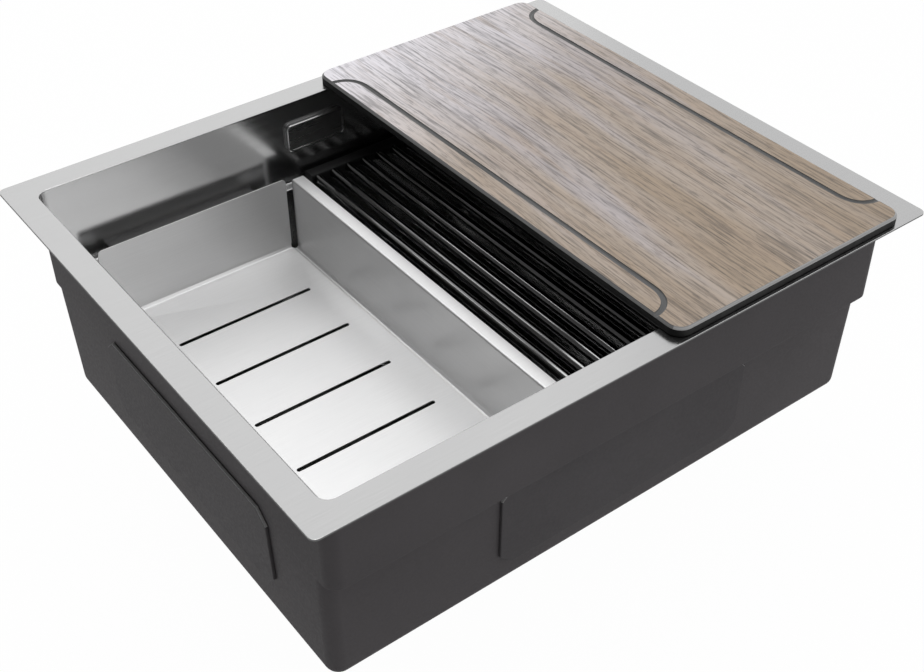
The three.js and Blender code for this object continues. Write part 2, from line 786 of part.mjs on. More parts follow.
// ================= waste: cup through the floor hole, clamped to the body below ================

const SEAT = RECESS_FLOOR - FIT_GAP;
const CUP_LIP = SEAT - WASHER - FIT_GAP;

const topWasher = revolve([
  [WASHER_INNER_RADIUS, 0],
  [FLANGE_RADIUS, 0],
  [FLANGE_RADIUS, WASHER],
  [WASHER_INNER_RADIUS, WASHER],
]);
waste.add(makeMesh('waste_washer_top', topWasher, siliconeBlack('washer_rubber'), 0, 0, -SEAT));

const cupBody = revolve(cupOutline({
  radius: CUP_RADIUS,
  depth: CUP_DEPTH,
  wall: CUP_WALL,
  round: CUP_ROUND,
  flare: CUP_FLARE,
  flange: FLANGE_RADIUS,
}));
const cupHoles = onCircle(CUP_HOLES, () => {
  const hole = cylinderAlong('z', CUP_HOLE_RADIUS, 2 * OVERCUT, ROUND_STEPS / 3);
  hole.translate(CUP_HOLE_CIRCLE, 0, -CUP_DEPTH);
  return hole;
}, 0.5);
const cupBolt = cylinderAlong('z', CUP_BOLT_RADIUS, 2 * OVERCUT, SCREW_STEPS);
cupBolt.translate(0, 0, -CUP_DEPTH);
const cupGeometry = cut(cupBody, cupBolt, ...cupHoles);
waste.add(makeMesh('strainer_cup', cupGeometry, steel('strainer_steel'), 0, 0, -CUP_LIP));

const UNDER_FLOOR = RECESS_FLOOR + SHEET + FIT_GAP;
const underWasher = revolve([
  [WASHER_INNER_RADIUS, -UNDER_WASHER],
  [FLANGE_RADIUS - WASHER, -UNDER_WASHER],
  [FLANGE_RADIUS, 0],
  [WASHER_INNER_RADIUS, 0],
]);
const underMaterial = siliconeBlack('washer_rubber_under');
waste.add(makeMesh('waste_washer_under', underWasher, underMaterial, 0, 0, -UNDER_FLOOR));

// The body is a cup under the floor with a threaded outlet below and a side branch to the back.
const BODY_TOP = UNDER_FLOOR + UNDER_WASHER + FIT_GAP;
const BODY_DEPTH = CUP_LIP + CUP_DEPTH - BODY_TOP + BODY_UNDER_CUP;
const OUTLET_END = BODY_DEPTH + OUTLET_LENGTH;

function makeWasteBody() {
  const thread = Array.from({ length: THREAD_TURNS }, (_, turn) => {
    const base = -OUTLET_END + THREAD_HEIGHT + turn * THREAD_PITCH;
    return [
      [OUTLET_RADIUS, base],
      [OUTLET_RADIUS + THREAD_HEIGHT, base + THREAD_PITCH / 3],
      [OUTLET_RADIUS, base + (THREAD_PITCH * 2) / 3],
    ];
  });
  const roundX = BODY_RADIUS - BODY_ROUND;
  const roundY = BODY_ROUND - BODY_DEPTH;
  const shellOutline = [
    [OUTLET_BORE, -OUTLET_END],
    [OUTLET_RADIUS, -OUTLET_END],
    ...thread.flat(),
    [OUTLET_RADIUS, -BODY_DEPTH],
    ...arc(roundX, roundY, BODY_ROUND, -1, 0),
    [BODY_RADIUS, -BODY_FLANGE],
    [BODY_FLANGE_RADIUS, -BODY_FLANGE],
    [BODY_FLANGE_RADIUS, 0],
    [BODY_RADIUS - BODY_WALL, 0],
    ...arc(roundX, roundY, BODY_ROUND - BODY_WALL, 0, -1),
    [OUTLET_BORE, BODY_WALL - BODY_DEPTH],
  ];
  const branchRoot = BODY_RADIUS - BRANCH_ROOT;
  const branchPipe = (radius, from, to) => {
    const pipe = cylinderAlong('y', radius, to - from, SMALL_STEPS);
    pipe.translate(0, (from + to) / 2, -BRANCH_DEPTH);
    return pipe;
  };
  const branch = branchPipe(SPIGOT_RADIUS, branchRoot, BRANCH_REACH);
  const branchBore = branchPipe(SPIGOT_BORE, branchRoot - OVERCUT, BRANCH_REACH + OVERCUT);
  const arm = new THREE.BoxGeometry(2 * BODY_RADIUS - BRANCH_ROOT, SPIDER_WIDTH, SPIDER_HEIGHT);
  arm.translate(0, 0, -BODY_DEPTH + SPIDER_RISE + SPIDER_HEIGHT / 2);
  const hub = cylinderAlong('z', HUB_RADIUS, HUB_HEIGHT, TUBE_STEPS);
  hub.translate(0, 0, -BODY_DEPTH + HUB_HEIGHT / 2);
  const hubBore = cylinderAlong('z', HUB_BORE, HUB_HEIGHT + 2 * OVERCUT, TUBE_STEPS);
  hubBore.translate(0, 0, -BODY_DEPTH + HUB_HEIGHT / 2);
  return cut(join(revolve(shellOutline), branch, arm, hub), branchBore, hubBore);
}
waste.add(makeMesh('waste_body', makeWasteBody(), plasticGrey('waste_plastic'), 0, 0, -BODY_TOP));

// A centre screw pulls the cup down on to the hub of the body.
const clampScrew = revolve([
  [0, -CLAMP_LENGTH],
  [CLAMP_RADIUS, -CLAMP_LENGTH],
  [CLAMP_RADIUS, 0],
  [CLAMP_HEAD_RADIUS, 0],
  [CLAMP_HEAD_RADIUS, CLAMP_HEAD_HEIGHT - CLAMP_HEAD_CHAMFER],
  [CLAMP_HEAD_RADIUS - CLAMP_HEAD_CHAMFER, CLAMP_HEAD_HEIGHT],
  [0, CLAMP_HEAD_HEIGHT],
], SMALL_STEPS);
const clampSlot = new THREE.BoxGeometry(
  2 * (CLAMP_HEAD_RADIUS - CLAMP_HEAD_CHAMFER),
  CLAMP_SLOT_WIDTH,
  CLAMP_SLOT_WIDTH,
);
clampSlot.translate(0, 0, CLAMP_HEAD_HEIGHT);
const clampTop = CUP_LIP + CUP_DEPTH - CUP_WALL - FIT_GAP;
const clampGeometry = cut(clampScrew, clampSlot);
waste.add(makeMesh('clamp_screw', clampGeometry, steel('clamp_steel'), 0, 0, -clampTop));

// The union nut holds a tail pipe against the outlet.
function makeNut() {
  const body = revolve([
    [TAIL_RADIUS + NUT_PIPE_GAP, -NUT_HEIGHT],
    [NUT_RADIUS - NUT_EDGE, -NUT_HEIGHT],
    [NUT_RADIUS, -NUT_HEIGHT + NUT_EDGE],
    [NUT_RADIUS, -NUT_EDGE],
    [NUT_RADIUS - NUT_EDGE, 0],
    [OUTLET_RADIUS + NUT_THREAD_GAP, 0],
    [OUTLET_RADIUS + NUT_THREAD_GAP, -NUT_HEIGHT + NUT_BASE],
    [TAIL_RADIUS + NUT_PIPE_GAP, -NUT_HEIGHT + NUT_BASE],
  ]);
  const ribs = onCircle(NUT_RIBS, () => {
    const rib = new THREE.BoxGeometry(2 * NUT_RIB_REACH, NUT_RIB_WIDTH, NUT_HEIGHT - 3 * NUT_EDGE);
    rib.translate(NUT_RADIUS, 0, NUT_HEIGHT / -2);
    return rib;
  });
  return join(body, ...ribs);
}
const nutTop = BODY_TOP + OUTLET_END - NUT_GRIP;
waste.add(makeMesh('union_nut', makeNut(), plasticGrey('nut_plastic'), 0, 0, -nutTop));

const tailPipe = revolve([
  [TAIL_RADIUS - TAIL_WALL, -TAIL_LENGTH],
  [TAIL_RADIUS, -TAIL_LENGTH],
  [TAIL_RADIUS, -TAIL_COLLAR],
  [TAIL_COLLAR_RADIUS, -TAIL_COLLAR],
  [TAIL_COLLAR_RADIUS, 0],
  [TAIL_RADIUS - TAIL_WALL, 0],
]);
const tailTop = BODY_TOP + OUTLET_END + FIT_GAP;
waste.add(makeMesh('tail_pipe', tailPipe, plasticGrey('tail_plastic'), 0, 0, -tailTop));
waste.position.set(DRAIN_X, DRAIN_Y, 0);

// The overflow hose drops from the housing's spigot and turns forward into the side branch.
function makeHose() {
  const topY = housingFront + SPIGOT_Y;
  const topZ = -OVERFLOW_DEPTH - HOUSING_HEIGHT / 2 - SPIGOT_LENGTH - FIT_GAP;
  const endY = DRAIN_Y + BRANCH_REACH + FIT_GAP;
  const endZ = -BODY_TOP - BRANCH_DEPTH;
  const point = (y, z) => new THREE.Vector3(OVERFLOW_X, y, z);
  const bendStart = point(topY, endZ + HOSE_TURN);
  const bendEnd = point(topY - HOSE_TURN, endZ);
  const path = new THREE.CurvePath();
  path.add(new THREE.LineCurve3(point(topY, topZ), bendStart));
  path.add(new THREE.QuadraticBezierCurve3(bendStart, point(topY, endZ), bendEnd));
  path.add(new THREE.LineCurve3(bendEnd, point(endY, endZ)));
  const ring = (radius) => Array.from({ length: HOSE_SIDES }, (_, i) => {
    const angle = (FULL_TURN * i) / HOSE_SIDES;
    return new THREE.Vector2(radius * Math.cos(angle), radius * Math.sin(angle));
  });
  const section = new THREE.Shape(ring(SPIGOT_RADIUS));
  section.holes.push(new THREE.Path(ring(SPIGOT_BORE)));
  return outwardFacing(new THREE.ExtrudeGeometry(section, {
    steps: HOSE_STEPS,
    extrudePath: path,
    bevelEnabled: false,
  }));
}
overflow.add(makeMesh('overflow_hose', makeHose(), plasticGrey('hose_plastic')));

// ================= lift-out strainer basket =================

function makeBasket() {
  const tools = [];
  for (const { circle, count } of BASKET_HOLE_RINGS) {
    tools.push(...onCircle(count, () => {
      const hole = cylinderAlong('z', BASKET_HOLE_RADIUS, 2 * OVERCUT, HOLE_STEPS);
      hole.translate(circle, 0, -BASKET_DEPTH);
      return hole;
    }));
  }
  tools.push(...onCircle(BASKET_SLOTS, () => {
    const slot = new THREE.BoxGeometry(2 * OVERCUT, BASKET_SLOT_WIDTH, BASKET_SLOT_HEIGHT);
    slot.translate(BASKET_RADIUS, 0, -BASKET_SLOT_DEPTH);
    return slot;
  }, 0.5));
  const stemHole = cylinderAlong('z', STEM_HOLE_RADIUS, 2 * OVERCUT, TUBE_STEPS);
  stemHole.translate(0, 0, -BASKET_DEPTH);
  const cup = revolve(cupOutline({
    radius: BASKET_RADIUS,
    depth: BASKET_DEPTH,
    wall: BASKET_WALL,
    round: BASKET_ROUND,
    flare: BASKET_FLARE,
    flange: BASKET_FLANGE_RADIUS,
  }));
  return cut(cup, stemHole, ...tools);
}
basket.add(makeMesh('basket_cup', makeBasket(), steel('basket_steel')));

const knobFoot = -BASKET_DEPTH + BASKET_WALL + FIT_GAP;
const knob = revolve([
  [0, -BASKET_DEPTH - STEM_TAIL],
  [STEM_RADIUS, -BASKET_DEPTH - STEM_TAIL],
  [STEM_RADIUS, knobFoot],
  [KNOB_FOOT_RADIUS, knobFoot],
  [KNOB_FOOT_RADIUS, knobFoot + KNOB_FOOT_HEIGHT / 2],
  [KNOB_NECK_RADIUS, knobFoot + KNOB_FOOT_HEIGHT],
  [KNOB_NECK_RADIUS, -KNOB_TOP_DEPTH - 3 * KNOB_ROUND],
  ...arc(KNOB_RADIUS - KNOB_ROUND, -KNOB_TOP_DEPTH - KNOB_ROUND, KNOB_ROUND, -1, 1, EDGE_STEPS),
  [0, -KNOB_TOP_DEPTH],
], SMALL_STEPS);
basket.add(makeMesh('basket_knob', knob, steel('knob_steel')));

const stopper = revolve([
  [STEM_HOLE_RADIUS, -STOPPER_THICKNESS],
  [STOPPER_RADIUS - STOPPER_TAPER, -STOPPER_THICKNESS],
  [STOPPER_RADIUS, STOPPER_THICKNESS / -2],
  [STOPPER_RADIUS - STOPPER_TAPER, 0],
  [STEM_HOLE_RADIUS, 0],
]);
const stopperTop = -BASKET_DEPTH - FIT_GAP;
const stopperMaterial = siliconeBlack('stopper_rubber');
basket.add(makeMesh('basket_stopper', stopper, stopperMaterial, 0, 0, stopperTop));

const stopperPlate = revolve([
  [0, -PLATE_THICKNESS],
  [PLATE_RADIUS - PLATE_EDGE, -PLATE_THICKNESS],
  [PLATE_RADIUS, 0],
  [0, 0],
], SMALL_STEPS);
const plateTop = stopperTop - STOPPER_THICKNESS - FIT_GAP;
const plateMaterial = steel('stopper_plate_steel');
basket.add(makeMesh('stopper_plate', stopperPlate, plateMaterial, 0, 0, plateTop));
basket.position.set(DRAIN_X, DRAIN_Y, -CUP_LIP + BASKET_SEAT);

// ================= perforated pan =================

// One sheet folded four ways: the side walls end in flanges, the end walls stand between them,
// and the corners are left open.
const halfSheet = PAN_SHEET / 2;
const panTopZ = -PAN_TOP - halfSheet;
const panFloorZ = -PAN_FLOOR - halfSheet;
const panMiddleX = (PAN_LEFT + PAN_RIGHT) / 2;
const endSheetLength = PAN_RIGHT - PAN_LEFT - 2 * PAN_CORNER_SLIT;

function makeSideSheet() {
  const profile = bentSheet(
    [
      [PAN_LEFT - PAN_FLANGE, panTopZ],
      [PAN_LEFT + halfSheet, panTopZ],
      [PAN_LEFT + halfSheet, panFloorZ],
      [PAN_RIGHT - halfSheet, panFloorZ],
      [PAN_RIGHT - halfSheet, panTopZ],
      [PAN_RIGHT + PAN_FLANGE, panTopZ],
    ],
    [PAN_FLANGE_BEND, PAN_BEND, PAN_BEND, PAN_FLANGE_BEND],
    PAN_SHEET,
  );
  return sweptCentred(profile, 2 * (PAN_HALF_WIDTH - PAN_CORNER_SLIT), PROFILE_XZ);
}

// The end walls' top corners are rounded off by square tools less a round.
function makeEndSheet() {
  const endY = PAN_HALF_WIDTH - halfSheet;
  const profile = bentSheet(
    [[-endY, -PAN_TOP], [-endY, panFloorZ], [endY, panFloorZ], [endY, -PAN_TOP]],
    [PAN_BEND, PAN_BEND],
    PAN_SHEET,
  );
  const sheet = sweptCentred(profile, endSheetLength, PROFILE_YZ);
  sheet.translate(panMiddleX, 0, 0);
  const length = 2 * (PAN_HALF_WIDTH + OVERCUT);
  const tools = ENDS.map(([, side]) => {
    const x = panMiddleX + side * (endSheetLength / 2 - PAN_TOP_ROUND);
    const square = new THREE.BoxGeometry(2 * PAN_TOP_ROUND, length, 2 * PAN_TOP_ROUND);
    square.translate(x + side * PAN_TOP_ROUND, 0, -PAN_TOP);
    const round = cylinderAlong('y', PAN_TOP_ROUND, length + OVERCUT, ROUND_STEPS);
    round.translate(x, 0, -PAN_TOP - PAN_TOP_ROUND);
    return cut(square, round);
  });
  return cut(sheet, ...tools);
}

function makePan() {
  const tools = [];
  for (let i = 0; i < SLOT_COUNT; i += 1) {
    const slot = slab(slotShape(SLOT_LENGTH, SLOT_WIDTH), PAN_SHEET + 2 * OVERCUT, 2);
    const y = SLOT_CENTRE_Y + (i - (SLOT_COUNT - 1) / 2) * SLOT_PITCH;
    slot.translate(panMiddleX + SLOT_SHIFT_X, y, -PAN_FLOOR - PAN_SHEET - OVERCUT);
    tools.push(slot);
  }
  // Where two bends meet at a floor corner the sheet is relieved by a round hole.
  for (const x of [PAN_LEFT + PAN_RELIEF_INSET, PAN_RIGHT - PAN_RELIEF_INSET]) {
    for (const [, side] of LONG_WALLS) {
      const ball = new THREE.SphereGeometry(PAN_RELIEF_RADIUS, TUBE_STEPS, TUBE_STEPS / 2);
      const y = side * (PAN_HALF_WIDTH - PAN_RELIEF_INSET);
      ball.translate(x, y, panFloorZ + PAN_RELIEF_INSET);
      tools.push(ball);
    }
  }
  return cut(join(makeSideSheet(), makeEndSheet()), ...tools);
}
pan.add(makeMesh('pan_sheet', makePan(), steel('pan_steel')));

// Angle strips under the end walls reach out over the steps and rest there on silicone.
const hangerTop = -LEDGE_DEPTH + FIT_GAP + GLIDE_THICKNESS + FIT_GAP + PAN_SHEET;
for (const [label, side] of LONG_WALLS) {
  const wall = PAN_HALF_WIDTH + FIT_GAP + halfSheet;
  const profile = bentSheet(
    [
      [side * wall, hangerTop - HANGER_DROP],
      [side * wall, hangerTop - halfSheet],
      [side * (wall + HANGER_REACH), hangerTop - halfSheet],
    ],
    [HANGER_BEND],
    PAN_SHEET,
  );
  const hanger = outwardFacing(sweptCentred(profile, HANGER_LENGTH, PROFILE_YZ));
  pan.add(makeMesh(`pan_hanger_${label}`, hanger, steel('hanger_steel'), panMiddleX));
  const glide = new THREE.BoxGeometry(HANGER_LENGTH, GLIDE_WIDTH, GLIDE_THICKNESS);
  const glideMesh = makeMesh(`pan_glide_${label}`, glide, siliconeBlack('glide_silicone'));
  const glideZ = -LEDGE_DEPTH + FIT_GAP + GLIDE_THICKNESS / 2;
  glideMesh.position.set(panMiddleX, side * (LOWER_Y + GLIDE_INSET), glideZ);
  pan.add(glideMesh);
}

// ================= rack: tubes held at both ends by pegs on silicone strips =================

const tubeRadius = TUBE_DIAMETER / 2;
const tubeBore = tubeRadius - TUBE_WALL;
const tubeZ = -TUBE_TOP - tubeRadius;
const circlePath = (PathType, radius) => {
  const path = new PathType();
  path.absarc(0, 0, radius, 0, FULL_TURN, false);
  return path;
};
const tubeShape = circlePath(THREE.Shape, tubeRadius);
tubeShape.holes.push(circlePath(THREE.Path, tubeBore));
for (let i = 0; i < TUBE_COUNT; i += 1) {
  const geometry = sweptCentred(tubeShape, 2 * TUBE_HALF_LENGTH, PROFILE_XZ, TUBE_STEPS / 2);
  const name = `rack_tube_${String(i + 1).padStart(2, '0')}`;
  rack.add(makeMesh(name, geometry, tubeDark('tube_coating'), TUBE_FIRST_X + i * TUBE_PITCH, 0, tubeZ));
}

const stripSpan = (TUBE_COUNT - 1) * TUBE_PITCH;
const stripMiddleX = TUBE_FIRST_X + stripSpan / 2;
const stripZ = -LEDGE_DEPTH + FIT_GAP + STRIP_HEIGHT / 2;
for (const [label, side] of LONG_WALLS) {
  const section = roundedRectangle(STRIP_WIDTH, STRIP_HEIGHT, STRIP_ROUND);
  const band = sweptCentred(section, stripSpan + 2 * STRIP_OVERHANG, PROFILE_YZ, 1);
  const pegs = Array.from({ length: TUBE_COUNT }, (_, i) => {
    const peg = cylinderAlong('y', tubeBore - FIT_GAP, PEG_LENGTH + PEG_ROOT, HOLE_STEPS);
    const x = i * TUBE_PITCH - stripSpan / 2;
    peg.translate(x, (-side * (STRIP_WIDTH + PEG_LENGTH - PEG_ROOT)) / 2, tubeZ - stripZ);
    return peg;
  });
  const strip = makeMesh(`rack_strip_${label}`, join(band, ...pegs), siliconeBlack('strip_silicone'));
  const y = side * (TUBE_HALF_LENGTH + FIT_GAP + STRIP_WIDTH / 2);
  strip.position.set(stripMiddleX, y, stripZ);
  rack.add(strip);
}

// ================= cutting board =================

// A compact laminate slab with a bevelled top edge. Beside each long edge a groove runs parallel
// to it and turns out to the edge at both ends.
function grooveTool(side) {
  const x = side * (BOARD_WIDTH / 2 - GROOVE_INSET);
  const edge = side * (BOARD_WIDTH / 2 + GROOVE_WIDTH);
  const y = BOARD_LENGTH / 2 - GROOVE_END;
  const turn = Math.abs(edge - x);
  const quarter = new THREE.QuadraticBezierCurve(
    new THREE.Vector2(edge, -y),
    new THREE.Vector2(x, -y),
    new THREE.Vector2(x, turn - y),
  );
  const start = quarter.getPoints(GROOVE_STEPS);
  const end = start.map((point) => new THREE.Vector2(point.x, -point.y)).reverse();
  const tool = slab(stripShape([...start, ...end], GROOVE_WIDTH), GROOVE_DEPTH + OVERCUT);
  tool.translate(0, 0, BOARD_THICKNESS - GROOVE_DEPTH);
  return tool;
}
const boardShape = roundedRectangle(BOARD_WIDTH, BOARD_LENGTH, BOARD_CORNER_RADIUS);
const boardSlab = bevelledSlab(boardShape, BOARD_THICKNESS, BOARD_BEVEL, GROOVE_STEPS);
const boardGeometry = cut(boardSlab, grooveTool(-1), grooveTool(1));
const boardMesh = makeMesh('cutting_board', boardGeometry, laminate('board_laminate'));
boardMesh.position.set(BOARD_LEFT + BOARD_WIDTH / 2, BOARD_CENTRE_Y, FIT_GAP);
board.add(boardMesh);

export default sink;
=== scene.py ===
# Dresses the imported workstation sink: finer sheet metal, tubes, board and fittings over the
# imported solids, procedural finishes, a pale floor, soft studio light and the camera.
# Lengths in the constants are millimetres; everything built is in metres.

import bpy
import bmesh
import math
from mathutils import Euler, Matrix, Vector


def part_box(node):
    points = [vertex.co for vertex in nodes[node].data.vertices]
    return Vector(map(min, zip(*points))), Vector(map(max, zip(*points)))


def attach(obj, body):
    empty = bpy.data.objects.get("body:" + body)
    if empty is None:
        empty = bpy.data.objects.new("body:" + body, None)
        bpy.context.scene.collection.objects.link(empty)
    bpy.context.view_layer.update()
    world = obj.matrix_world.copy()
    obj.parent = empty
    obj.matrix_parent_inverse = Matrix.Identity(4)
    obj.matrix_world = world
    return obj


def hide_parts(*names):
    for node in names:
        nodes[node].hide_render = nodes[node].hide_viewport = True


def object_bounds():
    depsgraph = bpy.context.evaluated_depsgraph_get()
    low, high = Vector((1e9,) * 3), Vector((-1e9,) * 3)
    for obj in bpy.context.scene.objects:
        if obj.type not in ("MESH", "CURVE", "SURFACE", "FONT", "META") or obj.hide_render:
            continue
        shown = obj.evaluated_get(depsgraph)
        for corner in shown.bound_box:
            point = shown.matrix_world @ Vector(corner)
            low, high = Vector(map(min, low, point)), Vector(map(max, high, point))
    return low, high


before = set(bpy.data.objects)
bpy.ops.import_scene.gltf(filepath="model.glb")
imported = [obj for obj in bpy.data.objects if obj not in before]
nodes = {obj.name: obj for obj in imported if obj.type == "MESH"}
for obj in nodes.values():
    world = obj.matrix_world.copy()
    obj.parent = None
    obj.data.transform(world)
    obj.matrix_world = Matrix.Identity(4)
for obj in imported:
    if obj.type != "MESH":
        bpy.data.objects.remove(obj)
cad_low, cad_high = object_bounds()

MM = 0.001
RIM_THICKNESS = 1.5          # heights below are depths under the rim's top

# ---- camera ----
CAMERA_PLACE = (-0.57366, -0.77205, 0.64806)
CAMERA_TURN = (50.49608, 0.26779, -37.11127)
CAMERA_LENS = 53.5736
CAMERA_SENSOR = 36

# ---- rim and bowl ----
RIM_LENGTH = 600
RIM_WIDTH = 500
RIM_BAND = 24
RIM_CORNER_RADIUS = 6
RIM_EDGE_RADIUS = 1
RIM_OUTER_ROUND = 0.35
CUT_EDGE_RISE = 0.7          # faces of the rim that look up less than this are cut edges
HOLD = 0.8                   # how near a flat face is held to a round, so that it shades flat
SHEET = 1.2
WALL_CORNER_RADIUS = 10
LEDGE_DEPTH = 86
LEDGE_WIDTH = 10
LEDGE_EDGE_RADIUS = 2
LEDGE_DROP = 0.7             # height of the ledge's lower round as a share of its width
LEDGE_TIGHTENING = 0.5       # loss of the upper round's radius per mm of offset outward
FLOOR_DEPTH = 197.7
FLOOR_EDGE_RADIUS = 8
WALL_DRAFT = 2
FLOOR_FALL = 2.5
FIT_GAP = 0.3
COATING = 0.8
DRAIN_X = 0
DRAIN_Y = 95
DRAIN_RECESS_RADIUS = 57.5
DRAIN_RECESS_DEPTH = 2.3
DRAIN_BEND = 1               # half the width of the shoulder on the underside
DRAIN_SHOULDER = ((1, -0.05), (0, 0.25), (-0.8, 1.2), (-1.5, 2.0), (-2.4, 2.3))
DRAIN_HOLE_RADIUS = 44.5
COATING_DRAIN_GAP = 6
OVERFLOW_DEPTH = 36.5
OVERFLOW_HOLE = (40, 13, 6.49)      # length, height and corner radius
OVERFLOW_WINDOW = (78, 40, 8)       # the same for the coating's bare patch behind the housing
CUT_REACH = 10

# ---- rack and board ----
TUBE_COUNT = 16
TUBE_DIAMETER = 10
TUBE_WALL = 1.4
TUBE_END_ROUND = 0.5
TUBE_END_BOW = 0.3           # how far the middle of that round stands in, as a share of it
TUBE_SIDES = 40
BOARD_LENGTH = 492
BOARD_WIDTH = 253
BOARD_CENTRE = (145.6, -0.8)
BOARD_CORNER_RADIUS = 12.5
BOARD_BEVEL = 2
BOARD_UNDER_BEVEL = 0.5
BOARD_SHARP_ANGLE = 14
LEVEL_RISE = 0.999           # the upward part of the normal on level faces, at least,
BEVEL_RISE = (0.70, 0.715)   # on the bevel, between these,
GROOVE_RISE = 0.3            # and in the grooves, at least
SIDE_FACING = 0.65           # its part along X on the bevel of the two long sides, at least
SAME_HEIGHT = 1e-5
BOARD_CORNER_STEPS = 24
GROOVE_WIDTH = 5
GROOVE_DEPTH = 1.6
GROOVE_INSET = 22.5
GROOVE_END = 25.5
GROOVE_CLEARANCE = 3         # how far the cutter stands over the board
GROOVE_TURN_STEPS = 24
GROOVE_ROUND_STEPS = 10

# ---- waste and overflow hose ----
BODY_RADIUS = 49
BODY_WALL = 2.6
BODY_ROUND = 9
BODY_FLANGE_RADIUS = 56.5
BODY_FLANGE_HEIGHT = 3
BODY_BEVEL = 0.6
OUTLET_RADIUS = 22
OUTLET_BORE = 18
OUTLET_LENGTH = 26
OUTLET_ROOT_BEVEL = 1.5
OUTLET_THREADS = 4
THREAD_START = 1
THREAD_PITCH = 5
THREAD_PROFILE = ((0, 0), (0.8, 1.2), (0.8, 1.8), (0, 3.2))    # out from the outlet, up it
BRANCH_DEPTH = 22
BRANCH_ROOT = 4              # how deep the branch starts inside the cup's wall
BRIDGE_LENGTH = 94
BRIDGE_WIDTH = 5
BRIDGE_LEVELS = (3, 7)
HUB_RADIUS = 7
HUB_HEIGHT = 8
HUB_SIDES = 40
SCREW_HOLE_RADIUS = 2.8
SCREW_HOLE_SIDES = 32
BRANCH_SIDES = 48
NUT_RADIUS = 28
NUT_HEIGHT = 19
NUT_GRIPS = 8
NUT_GRIP_REACH = 1.5
NUT_GRIP_SQUARENESS = 0.35
NUT_PLAIN_END = 2.2
HOSE_RADIUS = 8
HOSE_BORE = 6.2
HOSE_TURN = 34
HOSE_CUFF = 14
HOSE_PITCH = 4.5
HOSE_FOLD = 1.1
HOSE_SIDES = 32
HOSE_BEND_STEPS = 50
HOSE_SHARP_ANGLE = 60

# ---- studio ----
ROOM_LIGHT = 0.16
BACKDROP_SIDE = (1.0, 0.15, 0.0)    # where the white backdrop stands, seen from the sink
BACKDROP_FADE = (-0.50, 0.34)
FLOOR_GLOW = 0.98
FLOOR_REACH = 7.0
FLOOR_TILES = 10
FLOOR_GAP = 0.0004
LAMPS = (                           # name, place, aim, size in metres, watts
    ("key", (0.75, 1.7, 1.35), (0, 0, -0.05), (1.7, 1.7), 2),
    ("top", (-0.25, 0.0, 1.9), (-0.1, 0, -0.05), (1.1, 1.1), 11),
    ("strip", (-0.5, 1.3, 1.6), (-0.5, 1.3, 0), (0.24, 1.3), 3),
)

# ---- fineness of the meshes, angles in degrees ----
CORNER_STEPS = 12
ROUND_STEPS = 96
SHARP_ANGLE = 32
SHARP_ANGLE_CARRIED = 34
FLAT_ANGLE = 0.6
WELD = 1e-6                  # vertices nearer than this, in metres, are one
NODE_WELD = 2e-6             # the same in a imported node's mesh

INNER_X = RIM_LENGTH / 2 - RIM_BAND
INNER_Y = RIM_WIDTH / 2 - RIM_BAND
LOWER_Y = INNER_Y - LEDGE_WIDTH


# ================= node materials =================

